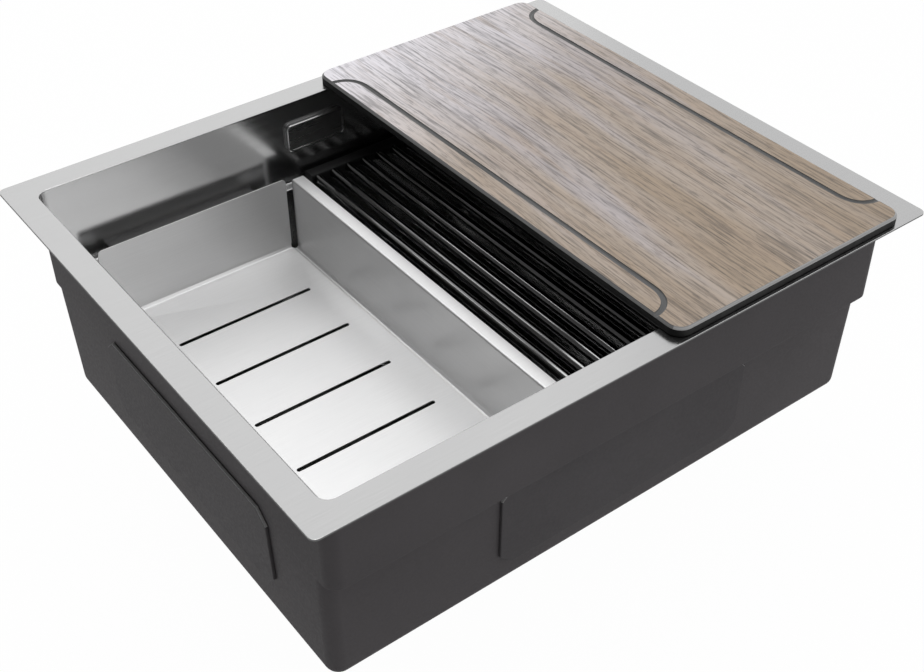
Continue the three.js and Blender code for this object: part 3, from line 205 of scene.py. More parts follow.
class Shade:
    """A principled material and short calls for the nodes in front of it."""

    def __init__(self, name, colour, roughness, metallic=0.0, **sockets):
        self.material = bpy.data.materials.new(name)
        self.material.use_nodes = True
        self.tree = self.material.node_tree
        self.shader = self.tree.nodes["Principled BSDF"]
        self.shader.inputs["Base Color"].default_value = (*colour, 1)
        self.shader.inputs["Roughness"].default_value = roughness
        self.shader.inputs["Metallic"].default_value = metallic
        for socket, value in sockets.items():
            self.shader.inputs[socket.replace("_", " ")].default_value = value
        self.place = self.add("ShaderNodeTexCoord").outputs["Object"]

    def add(self, kind, **values):
        node = self.tree.nodes.new(kind)
        for key, value in values.items():
            if hasattr(node, key):
                setattr(node, key, value)
            else:
                node.inputs[key.replace("_", " ")].default_value = value
        return node

    def link(self, source, target):
        self.tree.links.new(source, target)

    def scaled(self, scale, turn=(0, 0, 0)):
        node = self.add("ShaderNodeMapping")
        node.inputs["Scale"].default_value = scale
        node.inputs["Rotation"].default_value = turn
        self.link(self.place, node.inputs["Vector"])
        return node.outputs["Vector"]

    def noise(self, vector, scale, detail=4.0, rough=0.55, distortion=0.0):
        node = self.add("ShaderNodeTexNoise")
        node.inputs["Scale"].default_value = scale
        node.inputs["Detail"].default_value = detail
        node.inputs["Roughness"].default_value = rough
        node.inputs["Distortion"].default_value = distortion
        self.link(vector, node.inputs["Vector"])
        return node.outputs["Fac"]

    def ramp(self, value, *stops):
        node = self.add("ShaderNodeValToRGB")
        band = node.color_ramp
        while len(band.elements) < len(stops):
            band.elements.new(0.5)
        for element, (at, colour) in zip(band.elements, stops):
            element.position = at
            element.color = (*colour, 1) if hasattr(colour, "__len__") else (colour,) * 3 + (1,)
        self.link(value, node.inputs["Fac"])
        return node.outputs["Color"]

    def spread(self, value, low, high, start=0.0, end=1.0):
        node = self.add("ShaderNodeMapRange")
        node.inputs["From Min"].default_value = start
        node.inputs["From Max"].default_value = end
        node.inputs["To Min"].default_value = low
        node.inputs["To Max"].default_value = high
        self.link(value, node.inputs["Value"])
        return node.outputs["Result"]

    def maths(self, operation, a, b):
        node = self.add("ShaderNodeMath", operation=operation)
        for socket, value in zip(node.inputs, (a, b)):
            if hasattr(value, "links"):
                self.link(value, socket)
            else:
                socket.default_value = value
        return node.outputs["Value"]

    def mix(self, factor, a, b, mode="MIX"):
        node = self.add("ShaderNodeMix", data_type="RGBA", blend_type=mode)
        for socket, value in ((node.inputs[0], factor), (node.inputs[6], a), (node.inputs[7], b)):
            if hasattr(value, "links"):
                self.link(value, socket)
            elif hasattr(value, "__len__"):
                socket.default_value = (*value, 1)
            else:
                socket.default_value = value
        return node.outputs[2]

    def choose(self, masks_and_values):
        """The values weighted by their masks, which add up to one."""
        total = None
        for mask, value in masks_and_values:
            part = self.maths("MULTIPLY", mask, value)
            total = part if total is None else self.maths("ADD", total, part)
        return total

    def facing(self):
        """How far the surface faces X, Y and Z, squared, so that the three add up to one."""
        split = self.add("ShaderNodeSeparateXYZ")
        self.link(self.add("ShaderNodeNewGeometry").outputs["Normal"], split.inputs[0])
        return [self.maths("MULTIPLY", s, s) for s in split.outputs]

    def colour(self, value):
        self.link(value, self.shader.inputs["Base Color"])

    def rough(self, value):
        self.link(value, self.shader.inputs["Roughness"])

    def bump(self, height, distance, strength=1.0):
        node = self.add("ShaderNodeBump")
        node.inputs["Distance"].default_value = distance
        node.inputs["Strength"].default_value = strength
        self.link(height, node.inputs["Height"])
        self.link(node.outputs["Normal"], self.shader.inputs["Normal"])


def brushed_steel(name, tone, roughness, depth=0.000012, level_rough=0.0, painted_light_wall_tone=None):
    """Stainless sheet with a long fine grain that runs along each wall and along the floor.

    Level faces are rougher by level_rough, and standing faces may get painted light: a tone of
    their own that lightens or darkens them against the level faces.
    """
    s = Shade(name, (tone,) * 3, roughness, 1.0)
    fine, long = 2600, 26
    along_x = s.noise(s.scaled((long, fine, fine)), 1.0, 4.0, 0.65)
    along_y = s.noise(s.scaled((fine, long, fine)), 1.0, 4.0, 0.65)
    face_x, face_y, face_z = s.facing()
    grain = s.choose([(face_x, along_y), (face_y, along_x), (face_z, along_x)])
    broad_x = s.noise(s.scaled((3, 520, 520)), 1.0, 2.0, 0.5)
    broad_y = s.noise(s.scaled((520, 3, 520)), 1.0, 2.0, 0.5)
    streak = s.choose([(face_x, broad_y), (face_y, broad_x), (face_z, broad_x)])
    cloud = s.noise(s.place, 14.0, 3.0)
    tint = s.ramp(grain, (0.30, tone * 0.95), (0.70, min(1.0, tone * 1.03)))
    hazy = (tone * 0.97, tone * 0.97, tone * 0.98)
    tint = s.mix(s.spread(cloud, 0.0, 0.35, 0.35, 0.7), tint, hazy)
    # painted light: faces that stand up get their own tone, lighter or darker than level faces,
    # standing in for how they catch light
    if painted_light_wall_tone:
        wall_painted_light_mask = s.maths("SUBTRACT", 1.0, face_z)
        tint = s.mix(wall_painted_light_mask, tint, s.mix(1.0, tint, (painted_light_wall_tone / tone,) * 3, "MULTIPLY"))
    s.colour(tint)
    base = s.spread(streak, roughness - 0.015, roughness + 0.02, 0.3, 0.7)
    base = s.maths("ADD", base, s.maths("MULTIPLY", face_z, level_rough))
    s.rough(s.maths("ADD", base, s.spread(cloud, -0.01, 0.015, 0.3, 0.7)))
    s.bump(grain, depth, 0.5)
    return s.material


def turned_steel(name, tone, roughness):
    """Pressed and polished steel of the small round parts, with faint turning rings."""
    s = Shade(name, (tone,) * 3, roughness, 1.0)
    rings = s.noise(s.scaled((200, 200, 2400)), 1.0, 2.0)
    cloud = s.noise(s.place, 60.0, 3.0)
    s.colour(s.ramp(cloud, (0.3, tone * 0.93), (0.7, min(1.0, tone * 1.04))))
    s.rough(s.spread(rings, roughness - 0.04, roughness + 0.06, 0.3, 0.7))
    s.bump(rings, 0.00001, 0.5)
    return s.material


def sprayed_coating(name, tone, roughness, grit=1.0, upper=None):
    """Sprayed matt sound coating: a fine pebbled skin with soft patches of thicker spray, and, when
    upper is given, upward faces lightened toward it as a painted highlight.
    """
    s = Shade(name, tone, roughness, 0.0, Specular_IOR_Level=0.10)
    pebbles = s.noise(s.place, 1500.0, 4.0, 0.6)
    drops = s.noise(s.place, 420.0, 2.0)
    cloud = s.noise(s.place, 7.0, 3.0)
    dark = tuple(c * 0.90 for c in tone)
    light = tuple(c * 1.10 for c in tone)
    shade = s.ramp(cloud, (0.3, dark), (0.7, light))
    shade = s.mix(s.spread(pebbles, 0.0, 0.5, 0.3, 0.8), shade, tuple(c * 1.18 for c in tone))
    # painted highlight: faces that look up are lightened toward the upper tone, standing in for
    # light caught on the top edge
    if upper:
        split = s.add("ShaderNodeSeparateXYZ")
        s.link(s.add("ShaderNodeNewGeometry").outputs["Normal"], split.inputs[0])
        shade = s.mix(s.spread(split.outputs["Z"], 0.0, 1.0, 0.25, 0.6), shade, (upper,) * 3)
    s.colour(shade)
    s.rough(s.spread(drops, roughness - 0.07, roughness + 0.07, 0.3, 0.7))
    s.bump(s.maths("ADD", pebbles, drops), 0.00007 * grit, 0.35)
    return s.material


def moulded(name, tone, roughness):
    """Moulded plastic or rubber: even colour, slight flow marks and a fine spark grain."""
    s = Shade(name, tone, roughness)
    spark = s.noise(s.place, 900.0, 3.0)
    flow = s.noise(s.scaled((30, 30, 90)), 1.0, 3.0)
    dark = tuple(c * 0.93 for c in tone)
    light = tuple(c * 1.05 for c in tone)
    s.colour(s.ramp(flow, (0.3, dark), (0.7, light)))
    s.rough(s.spread(spark, roughness - 0.06, roughness + 0.06, 0.3, 0.7))
    s.bump(spark, 0.00003, 0.4)
    return s.material


def dark_tube(name, tone, roughness):
    """Dark steel tube: a metal of low tone, satin along its length with faint drawn lines."""
    s = Shade(name, (tone,) * 3, roughness, 1.0)
    drawn = s.noise(s.scaled((2200, 16, 2200)), 1.0, 3.0)
    cloud = s.noise(s.place, 40.0, 2.0)
    s.colour(s.ramp(drawn, (0.3, tone * 0.86), (0.7, tone * 1.12)))
    s.rough(s.maths("ADD", s.spread(drawn, roughness - 0.03, roughness + 0.05, 0.3, 0.7),
                    s.spread(cloud, -0.01, 0.03, 0.3, 0.7)))
    s.bump(drawn, 0.000006, 0.4)
    return s.material


def oak_decor(name):
    """Greyed oak decor along Y: a painted sheen that whitens it toward the back left and darkens it
    toward the front right, fine fibres, wavy figure and a few dark lines.
    """
    s = Shade(name, (0.4, 0.33, 0.27), 0.5, 0.0, Specular_IOR_Level=0.5)
    warp = s.noise(s.scaled((2.6, 1.3, 1.0)), 1.0, 2.0)
    shift = s.add("ShaderNodeCombineXYZ")
    s.link(s.spread(warp, -0.010, 0.010, 0.25, 0.75), shift.inputs[0])
    moved = s.add("ShaderNodeVectorMath", operation="ADD")
    s.link(s.place, moved.inputs[0])
    s.link(shift.outputs[0], moved.inputs[1])

    def stretched(x, y):
        node = s.add("ShaderNodeMapping")
        node.inputs["Scale"].default_value = (x, y, 1.0)
        s.link(moved.outputs[0], node.inputs["Vector"])
        return node.outputs["Vector"]

    bands = s.noise(stretched(17, 1.8), 1.0, 3.0, 0.60)
    split = s.add("ShaderNodeSeparateXYZ")
    s.link(s.place, split.inputs[0])
    # part of the painted sheen: the bands lean to the warm tone at the front and the cool tone at
    # the back
    bands = s.maths("ADD", bands, s.spread(split.outputs["Y"], -0.18, 0.09, -0.22, 0.08))
    figure = s.noise(stretched(60, 5.0), 1.0, 5.0, 0.6, 0.6)
    fibres = s.noise(stretched(430, 15), 1.0, 3.0, 0.6)
    ticks = s.noise(stretched(640, 52), 1.0, 2.0, 0.6)
    veins = s.noise(stretched(40, 1.3), 1.0, 2.0, 0.5, 0.5)
    warm, mid, cool = (0.345, 0.265, 0.192), (0.405, 0.335, 0.280), (0.440, 0.395, 0.395)
    tone = s.ramp(bands, (0.34, warm), (0.50, mid), (0.64, cool))
    # painted sheen: whitish toward the back left, darker and warmer toward the front right,
    # standing in for the board's sheen
    painted_sheen_drift = s.maths("ADD", s.spread(split.outputs["Y"], -0.55, 0.85, -0.05, 0.25),
                    s.spread(split.outputs["X"], 0.20, -0.20, 0.02, 0.27))
    painted_sheen_drift = s.maths("ADD", painted_sheen_drift, s.spread(figure, -0.12, 0.12, 0.35, 0.65))
    tone = s.mix(s.spread(painted_sheen_drift, 0.0, 1.0), tone, (0.800, 0.780, 0.830))
    tone = s.mix(s.spread(figure, 0.0, 0.50, 0.52, 0.66), tone, (0.380, 0.290, 0.220))
    lines = s.ramp(fibres, (0.38, 0.42), (0.47, 0.95), (0.62, 1.16))
    tone = s.mix(0.75, tone, lines, "MULTIPLY")
    marks = s.ramp(ticks, (0.38, 0.50), (0.44, 1.0))
    tone = s.mix(0.60, tone, marks, "MULTIPLY")
    streaks = s.ramp(veins, (0.485, 1.0), (0.500, 0.45), (0.515, 1.0))
    tone = s.mix(0.60, tone, streaks, "MULTIPLY")
    s.colour(tone)
    s.rough(s.spread(fibres, 0.36, 0.52, 0.35, 0.65))
    s.bump(s.mix(0.5, lines, marks), 0.00005, 0.5)
    return s.material


def laminate_core(name, tone, roughness):
    """Black compact core seen at the board's edge, with the faint layers of its sheets."""
    s = Shade(name, (tone,) * 3, roughness, Specular_IOR_Level=0.25)
    layers = s.noise(s.scaled((6, 6, 5200)), 1.0, 2.0)
    cloud = s.noise(s.place, 120.0, 3.0)
    s.colour(s.ramp(layers, (0.35, tone * 0.75), (0.65, tone * 1.35)))
    s.rough(s.spread(cloud, roughness - 0.06, roughness + 0.08, 0.3, 0.7))
    s.bump(layers, 0.00002, 0.4)
    return s.material


# painted light: the bowl's walls are lighter than its rim as a painted reflection, and the pan's
# walls darker than its floor, which carries a brighter painted sheen
STEEL_BOWL = brushed_steel("steel_bowl", 0.50, 0.20, painted_light_wall_tone=0.72)
STEEL_PAN = brushed_steel("steel_pan", 0.86, 0.30, 0.000005, level_rough=0.20, painted_light_wall_tone=0.66)
STEEL_CUT = brushed_steel("steel_cut_edge", 0.16, 0.50)
STEEL_ANGLE = brushed_steel("steel_angle", 0.20, 0.45, 0.000005)
STEEL_COVER = brushed_steel("steel_cover", 0.50, 0.28)
# partly real, partly painted: polished steel for the cover's rounds, lightened far past the cover's
# tone as a painted highlight
STEEL_BORDER_PAINTED_HIGHLIGHT = turned_steel("steel_border_painted_highlight", 0.92, 0.10)
STEEL_SMALL = turned_steel("steel_small", 0.72, 0.20)
STEEL_SCREW = turned_steel("steel_screw", 0.66, 0.26)
COATING_DARK = sprayed_coating("coating_dark", (0.070, 0.065, 0.068), 0.62)
# painted highlight: the pads' upward top edges are lightened to 0.42
PAD_DARK_PAINTED_TOP_LIGHT = sprayed_coating("pad_dark_painted_top_light", (0.062, 0.058, 0.061), 0.60, 1.6, 0.42)
SILICONE = moulded("silicone", (0.006, 0.006, 0.0065), 0.60)
RUBBER = moulded("rubber", (0.022, 0.022, 0.023), 0.62)
PLASTIC = moulded("plastic_grey", (0.66, 0.66, 0.65), 0.38)
TUBE_DARK = dark_tube("tube_dark", 0.20, 0.10)
DECOR = oak_decor("oak_decor")
CORE = laminate_core("laminate_core", 0.003, 0.55)
# painted light: lighter copies of the black core for the bevel, the long sides' bevel and the
# grooves, standing in for light caught on those faces
CORE_BEVEL_PAINTED_HIGHLIGHT = laminate_core("laminate_bevel_painted_highlight", 0.34, 0.45)
CORE_GROOVE_PAINTED_LIGHT = laminate_core("laminate_groove_painted_light", 0.12, 0.45)
CORE_SIDE_PAINTED_LIGHT = laminate_core("laminate_side_painted_light", 0.15, 0.45)


# ================= mesh helpers =================

def placed(name, bm):
    """An object in the scene made from a bmesh in metres."""
    mesh = bpy.data.meshes.new(name)
    bm.to_mesh(mesh)
    bm.free()
    made = bpy.data.objects.new(name, mesh)
    bpy.context.scene.collection.objects.link(made)
    return made


def to_object(name, bm, body, materials, sharp=SHARP_ANGLE):
    """Turns a bmesh in metres into a piece on a body, smooth but for its sharp edges."""
    bmesh.ops.remove_doubles(bm, verts=bm.verts, dist=WELD)
    bmesh.ops.recalc_face_normals(bm, faces=bm.faces)
    made = placed(name, bm)
    made.data.shade_smooth()
    made.data.set_sharp_from_angle(angle=math.radians(sharp))
    for entry in materials:
        made.data.materials.append(entry)
    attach(made, body)
    return made


def tool(name, bm):
    """A closed mesh for cutting or joining; subtract takes it out of the scene again."""
    bmesh.ops.recalc_face_normals(bm, faces=bm.faces)
    return placed(name, bm)


def from_node(name):
    """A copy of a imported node's mesh with its corners welded, to be made finer."""
    bm = bmesh.new()
    bm.from_mesh(nodes[name].data)
    bmesh.ops.remove_doubles(bm, verts=bm.verts, dist=NODE_WELD)
    return bm


def soften(made, width, segments, angle):
    """A small round on every sharp edge, which is where light catches on a real part."""
    edge = made.modifiers.new("edge", "BEVEL")
    edge.width = width * MM
    edge.segments = segments
    edge.limit_method = "ANGLE"
    edge.angle_limit = math.radians(angle)
    edge.harden_normals = True
    edge.use_clamp_overlap = True
    edge.miter_outer = "MITER_ARC"


def level(depth):
    """The frame's height, in metres, of a depth in mm under the rim's top."""
    return (RIM_THICKNESS - depth) * MM


def rounded_outline(length, height, radius, centre=(0, 0), steps=10):
    """A rectangle with rounded corners: sizes in mm, points in metres."""
    points = []
    for corner, (sx, sy) in enumerate(((1, 1), (-1, 1), (-1, -1), (1, -1))):
        for step in range(steps + 1):
            angle = math.pi / 2 * (corner + step / steps)
            x = sx * (length / 2 - radius) + radius * math.cos(angle)
            y = sy * (height / 2 - radius) + radius * math.sin(angle)
            points.append(((centre[0] + x) * MM, (centre[1] + y) * MM))
    return points


def rectangle_ring(half_x, half_y, radius, depth):
    """A level ring about the bowl's middle, with as many points as a circle_ring."""
    outline = rounded_outline(2 * half_x, 2 * half_y, radius, steps=CORNER_STEPS)
    return [(x, y, level(depth)) for x, y in outline]


def circle_ring(radius, depth):
    """A level ring about the drain."""
    count = 4 * (CORNER_STEPS + 1)
    ring = []
    for i in range(count):
        angle = 2 * math.pi * (i + 0.5) / count
        x = DRAIN_X + radius * math.cos(angle)
        y = DRAIN_Y + radius * math.sin(angle)
        ring.append((x * MM, y * MM, level(depth)))
    return ring


def round_points(x, y, radius, sides):
    """Points round a centre; x and y in metres, the radius in mm."""
    angles = [2 * math.pi * i / sides for i in range(sides)]
    return [(x + radius * MM * math.cos(a), y + radius * MM * math.sin(a)) for a in angles]


def add_rows(bm, rings):
    """Rows of vertices at the points of rings."""
    return [[bm.verts.new(p) for p in ring] for ring in rings]


def skin(bm, rows):
    """Faces between neighbouring rows of vertices."""
    for here, there in zip(rows, rows[1:]):
        for i in range(len(here)):
            j = (i + 1) % len(here)
            bm.faces.new((here[i], here[j], there[j], there[i]))


def loft(bm, rings):
    """A closed form through rings, the last of which meets the first."""
    rows = add_rows(bm, rings)
    skin(bm, rows + rows[:1])


def lathe(outline, centre, swell=None):
    """A mesh turned from (radius, height) pairs in mm about a vertical axis through a centre.

    swell gives the extra radius at a radius, a height and an angle.
    """
    rings = []
    for radius, height in outline:
        ring = []
        for i in range(ROUND_STEPS):
            angle = 2 * math.pi * i / ROUND_STEPS
            reach = (radius + (swell(radius, height, angle) if swell else 0)) * MM
            ring.append((centre[0] + reach * math.cos(angle),
                         centre[1] + reach * math.sin(angle), centre[2] + height * MM))
        rings.append(ring)
    bm = bmesh.new()
    loft(bm, rings)
    return bm


def subtract(made, *tools, operation="DIFFERENCE"):
    """Cuts tool pieces out of a piece, or joins them on, and applies the result."""
    for other in tools:
        cutter = made.modifiers.new("cut", "BOOLEAN")
        cutter.operation = operation
        cutter.solver = "EXACT"
        cutter.object = other
    graph = bpy.context.evaluated_depsgraph_get()
    done = bpy.data.meshes.new_from_object(made.evaluated_get(graph))
    made.modifiers.clear()
    old = made.data
    made.data = done
    bpy.data.meshes.remove(old)
    for other in tools:
        bpy.data.objects.remove(other)
    made.data.shade_smooth()
    made.data.set_sharp_from_angle(angle=math.radians(SHARP_ANGLE))


def tool_prism(points, low, high, along="z"):
    """A prism for cutting: an outline in metres, swept from low to high along Y or Z."""
    bm = bmesh.new()
    if along == "y":
        rings = [[(a, t, b) for a, b in points] for t in (low, high)]
    else:
        rings = [[(a, b, t) for a, b in points] for t in (low, high)]
    rows = add_rows(bm, rings)
    bm.faces.new(rows[0])
    bm.faces.new(rows[1])
    skin(bm, rows)
    return tool("cutter", bm)


def stand_in(made, node):
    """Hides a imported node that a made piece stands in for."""
    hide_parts(node)


# ================= bowl and coating =================

def quarter(steps):
    """Angles over a quarter turn."""
    return [math.pi / 2 * n / steps for n in range(steps + 1)]


def lower_levels(offset):
    """Wall from the ledge down, then the round into the floor."""
    radius = WALL_CORNER_RADIUS + offset
    rings = [rectangle_ring(INNER_X + offset, LOWER_Y + offset, radius,
                            LEDGE_DEPTH + LEDGE_EDGE_RADIUS + offset)]
    half_x, half_y = INNER_X - WALL_DRAFT, LOWER_Y - WALL_DRAFT
    bend = FLOOR_EDGE_RADIUS + offset
    for angle in quarter(8):
        reach = bend * math.cos(angle) - FLOOR_EDGE_RADIUS
        depth = FLOOR_DEPTH - FLOOR_EDGE_RADIUS + bend * math.sin(angle)
        rings.append(rectangle_ring(half_x + reach, half_y + reach,
                                    WALL_CORNER_RADIUS + reach, depth))
    return rings


def ledge_levels(offset):
    """The step in both long walls: a round above it, the flat, and a round below it."""
    upper = LEDGE_EDGE_RADIUS - offset * LEDGE_TIGHTENING
    lower = LEDGE_EDGE_RADIUS
    radius = WALL_CORNER_RADIUS + offset
    depth = LEDGE_DEPTH + offset
    x = INNER_X + offset
    rings = [rectangle_ring(x, INNER_Y + offset, radius, depth - upper - HOLD)]
    for angle in quarter(5):
        y = INNER_Y + offset - upper * (1 - math.cos(angle))
        rings.append(rectangle_ring(x, y, radius, depth - upper * (1 - math.sin(angle))))
    for angle in quarter(5):
        y = LOWER_Y + offset + lower * (1 - math.sin(angle))
        drop = lower * LEDGE_DROP * (1 - math.cos(angle))
        rings.append(rectangle_ring(x, y, radius, depth + drop))
    return rings


def wall_ring(offset, depth):
    """A ring round the bowl's upper opening, moved out by an offset."""
    return rectangle_ring(INNER_X + offset, INNER_Y + offset, WALL_CORNER_RADIUS + offset, depth)


def rim_ring(inset, depth):
    """A ring round the rim's outer edge, moved in by an inset."""
    return rectangle_ring(RIM_LENGTH / 2 - inset, RIM_WIDTH / 2 - inset,
                          RIM_CORNER_RADIUS - inset, depth)


def back_wall_cutter(length, height, radius):
    """A rounded opening through the back wall at the overflow's place."""
    outline = rounded_outline(length, height, radius, (0, RIM_THICKNESS - OVERFLOW_DEPTH))
    return tool_prism(outline, (INNER_Y - CUT_REACH) * MM, (INNER_Y + CUT_REACH) * MM, "y")


def build_bowl():
    """One closed shell: rim, walls with their ledges, floor and drain, and back up outside."""
    rings = [rim_ring(0, RIM_THICKNESS)]
    for angle in quarter(3):
        rings.append(rim_ring(RIM_OUTER_ROUND * (1 - math.cos(angle)),
                              RIM_OUTER_ROUND * (1 - math.sin(angle))))
    rings += [rim_ring(HOLD, 0), wall_ring(2 * HOLD, 0)]
    for angle in quarter(6):
        rings.append(wall_ring(RIM_EDGE_RADIUS * (1 - math.sin(angle)),
                               RIM_EDGE_RADIUS * (1 - math.cos(angle))))
    rings.append(wall_ring(0, RIM_EDGE_RADIUS + HOLD))
    rings += ledge_levels(0) + lower_levels(0)
    drain = FLOOR_DEPTH + FLOOR_FALL
    recess = drain + DRAIN_RECESS_DEPTH
    rings += [circle_ring(DRAIN_RECESS_RADIUS + past, drain + under)
              for past, under in DRAIN_SHOULDER]
    rings += [circle_ring(DRAIN_HOLE_RADIUS, recess),
              circle_ring(DRAIN_HOLE_RADIUS, recess + SHEET),
              circle_ring(DRAIN_RECESS_RADIUS - DRAIN_BEND, recess + SHEET),
              circle_ring(DRAIN_RECESS_RADIUS + DRAIN_BEND, drain + SHEET)]
    rings += lower_levels(SHEET)[::-1] + ledge_levels(SHEET)[::-1]
    rings.append(wall_ring(SHEET, RIM_THICKNESS))
    bm = bmesh.new()
    loft(bm, rings)
    bowl = to_object("bowl_shell", bm, "sink", [STEEL_BOWL, STEEL_CUT])
    subtract(bowl, back_wall_cutter(*OVERFLOW_HOLE))
    for face in bowl.data.polygons:
        past_wall = max(abs(face.center.x) - INNER_X * MM, abs(face.center.y) - INNER_Y * MM)
        cut_edge = past_wall > RIM_BAND / 2 * MM and face.normal.z < CUT_EDGE_RISE
        face.material_index = 1 if cut_edge else 0
    stand_in(bowl, "bowl")


def build_coating():
    """The sprayed skin over the bowl's outside, open at the drain and behind the housing."""
    near = SHEET + FIT_GAP
    far = near + COATING
    top = RIM_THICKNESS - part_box("outer_coating")[1].z / MM
    hole = DRAIN_RECESS_RADIUS + COATING_DRAIN_GAP
    drain = FLOOR_DEPTH + FLOOR_FALL
    rings = [wall_ring(near, top)] + ledge_levels(near) + lower_levels(near)
    rings += [circle_ring(hole, drain + near), circle_ring(hole, drain + far)]
    rings += lower_levels(far)[::-1] + ledge_levels(far)[::-1] + [wall_ring(far, top)]
    bm = bmesh.new()
    loft(bm, rings)
    coat = to_object("coating_shell", bm, "sink", [COATING_DARK])
    subtract(coat, back_wall_cutter(*OVERFLOW_WINDOW))
    stand_in(coat, "outer_coating")


build_bowl()
build_coating()


# ================= rack of tubes =================

def build_tube(number):
    """One drawn tube, with open ends for the pegs of the strips and small turned edges."""
    node = f"rack_tube_{number + 1:02d}"
    low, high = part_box(node)
    centre = (low + high) / 2
    outer = TUBE_DIAMETER / 2
    inner = outer - TUBE_WALL
    half = (high.y - low.y) / 2 / MM
    end = TUBE_END_ROUND
    middle = TUBE_END_BOW * end
    outline = [(inner, -half), (outer - end, -half), (outer - middle, middle - half),
               (outer, end - half), (outer, half - end), (outer - middle, half - middle),
               (outer - end, half), (inner, half)]
    rings = [[(x, centre.y + along * MM, z)
              for x, z in round_points(centre.x, centre.z, radius, TUBE_SIDES)]
             for radius, along in outline]
    bm = bmesh.new()
    loft(bm, rings)
    tube = to_object(f"tube_{number + 1:02d}", bm, "rack", [TUBE_DARK])
    stand_in(tube, node)


for number in range(TUBE_COUNT):
    build_tube(number)


# ================= cutting board =================

def board_ring(inset, z):
    points = rounded_outline(BOARD_WIDTH - 2 * inset, BOARD_LENGTH - 2 * inset,
                             BOARD_CORNER_RADIUS - inset, BOARD_CENTRE, BOARD_CORNER_STEPS)
    return [(x, y, z) for x, y in points]


def groove_path(side):
    """Centre line of a groove: parallel to the long edge, turning out to the edge at both ends."""
    x = side * (BOARD_WIDTH / 2 - GROOVE_INSET)
    edge = side * (BOARD_WIDTH / 2 + GROOVE_WIDTH)
    y = BOARD_LENGTH / 2 - GROOVE_END
    turn = abs(edge - x)
    points = []
    for n in range(GROOVE_TURN_STEPS + 1):
        t = n / GROOVE_TURN_STEPS
        a, b, c = (1 - t) ** 2, 2 * t * (1 - t), t * t
        points.append((a * edge + b * x + c * x, -(a * y + b * y + c * (y - turn))))
    back = [(px, -py) for px, py in points[::-1]]
    return points + back


def groove_cutter(side, top):
    """A round-bottomed strip along the groove's path, for cutting."""
    path = groove_path(side)
    half = GROOVE_WIDTH / 2
    section = [(-half, GROOVE_CLEARANCE), (half, GROOVE_CLEARANCE), (half, 0.0)]
    for n in range(1, GROOVE_ROUND_STEPS):
        angle = math.pi * n / GROOVE_ROUND_STEPS
        section.append((half * math.cos(angle), -GROOVE_DEPTH * math.sin(angle)))
    section.append((-half, 0.0))
    rings = []
    for i, (x, y) in enumerate(path):
        before, after = path[max(0, i - 1)], path[min(len(path) - 1, i + 1)]
        along = Vector((after[0] - before[0], after[1] - before[1])).normalized()
        x, y = x + BOARD_CENTRE[0], y + BOARD_CENTRE[1]
        rings.append([((x - along.y * a) * MM, (y + along.x * a) * MM, top + b * MM)
                      for a, b in section])
    bm = bmesh.new()
    rows = add_rows(bm, rings)
    skin(bm, rows)
    bm.faces.new(rows[0])
    bm.faces.new(rows[-1])
    return tool("groove", bm)


def build_board():
    """A slab with a bevelled edge and two grooves, with lighter copies of the black core on its
    bevel, long sides and grooves as painted light.
    """
    low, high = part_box("cutting_board")
    top, bottom = high.z, low.z
    edge_top = top - BOARD_BEVEL * MM
    under = BOARD_UNDER_BEVEL
    bm = bmesh.new()
    rows = add_rows(bm, [board_ring(under, bottom), board_ring(0.0, bottom + under * MM),
                         board_ring(0.0, edge_top), board_ring(BOARD_BEVEL, top)])
    bm.faces.new(rows[0])
    skin(bm, rows)
    bm.faces.new(rows[-1])
    finishes_and_lit_copies = [DECOR, CORE, CORE_BEVEL_PAINTED_HIGHLIGHT, CORE_GROOVE_PAINTED_LIGHT, CORE_SIDE_PAINTED_LIGHT]
    board = to_object("board_slab", bm, "board", finishes_and_lit_copies)
    subtract(board, groove_cutter(-1, top), groove_cutter(1, top))
    for face in board.data.polygons:
        centre, normal = face.center, face.normal
        if normal.z > LEVEL_RISE and abs(centre.z - top) < SAME_HEIGHT:
            finish = DECOR
        # bevel, long sides and grooves take the lighter core copies: painted highlight and painted
        # light
        elif BEVEL_RISE[0] < normal.z < BEVEL_RISE[1]:
            finish = CORE_SIDE_PAINTED_LIGHT if abs(normal.x) > SIDE_FACING else CORE_BEVEL_PAINTED_HIGHLIGHT
        elif normal.z > GROOVE_RISE or centre.z > edge_top and abs(normal.z) < LEVEL_RISE:
            finish = CORE_GROOVE_PAINTED_LIGHT
        else:
            finish = CORE
        face.material_index = finishes_and_lit_copies.index(finish)
    board.data.set_sharp_from_angle(angle=math.radians(BOARD_SHARP_ANGLE))
    stand_in(board, "cutting_board")


build_board()


# ================= waste and overflow hose =================

def turned(node, name, outline, material, swell=None):
    """A round part of the waste, turned finely; heights count down from the top of its node."""
    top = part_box(node)[1].z
    bm = lathe(outline, (DRAIN_X * MM, DRAIN_Y * MM, top), swell)
    stand_in(to_object(name, bm, "sink", [material]), node)


def grip(radius, height, angle):
    """The eight rounded grips round the union nut."""
    if radius < NUT_RADIUS - 0.1 or not NUT_PLAIN_END - NUT_HEIGHT < height < -NUT_PLAIN_END:
        return 0.0
    return NUT_GRIP_REACH * max(0.0, math.cos(NUT_GRIPS * angle)) ** NUT_GRIP_SQUARENESS


def round_bar(radius, start, end):
    """A round bar along Y for joining or cutting; its ends are points in metres."""
    points = round_points(start.x, start.z, radius, BRANCH_SIDES)
    return tool_prism(points, start.y, end.y, "y")


def arc_points(x, y, radius, first, last, steps=10):
    return [(x + radius * math.cos(first + (last - first) * n / steps),
             y + radius * math.sin(first + (last - first) * n / steps)) for n in range(steps + 1)]


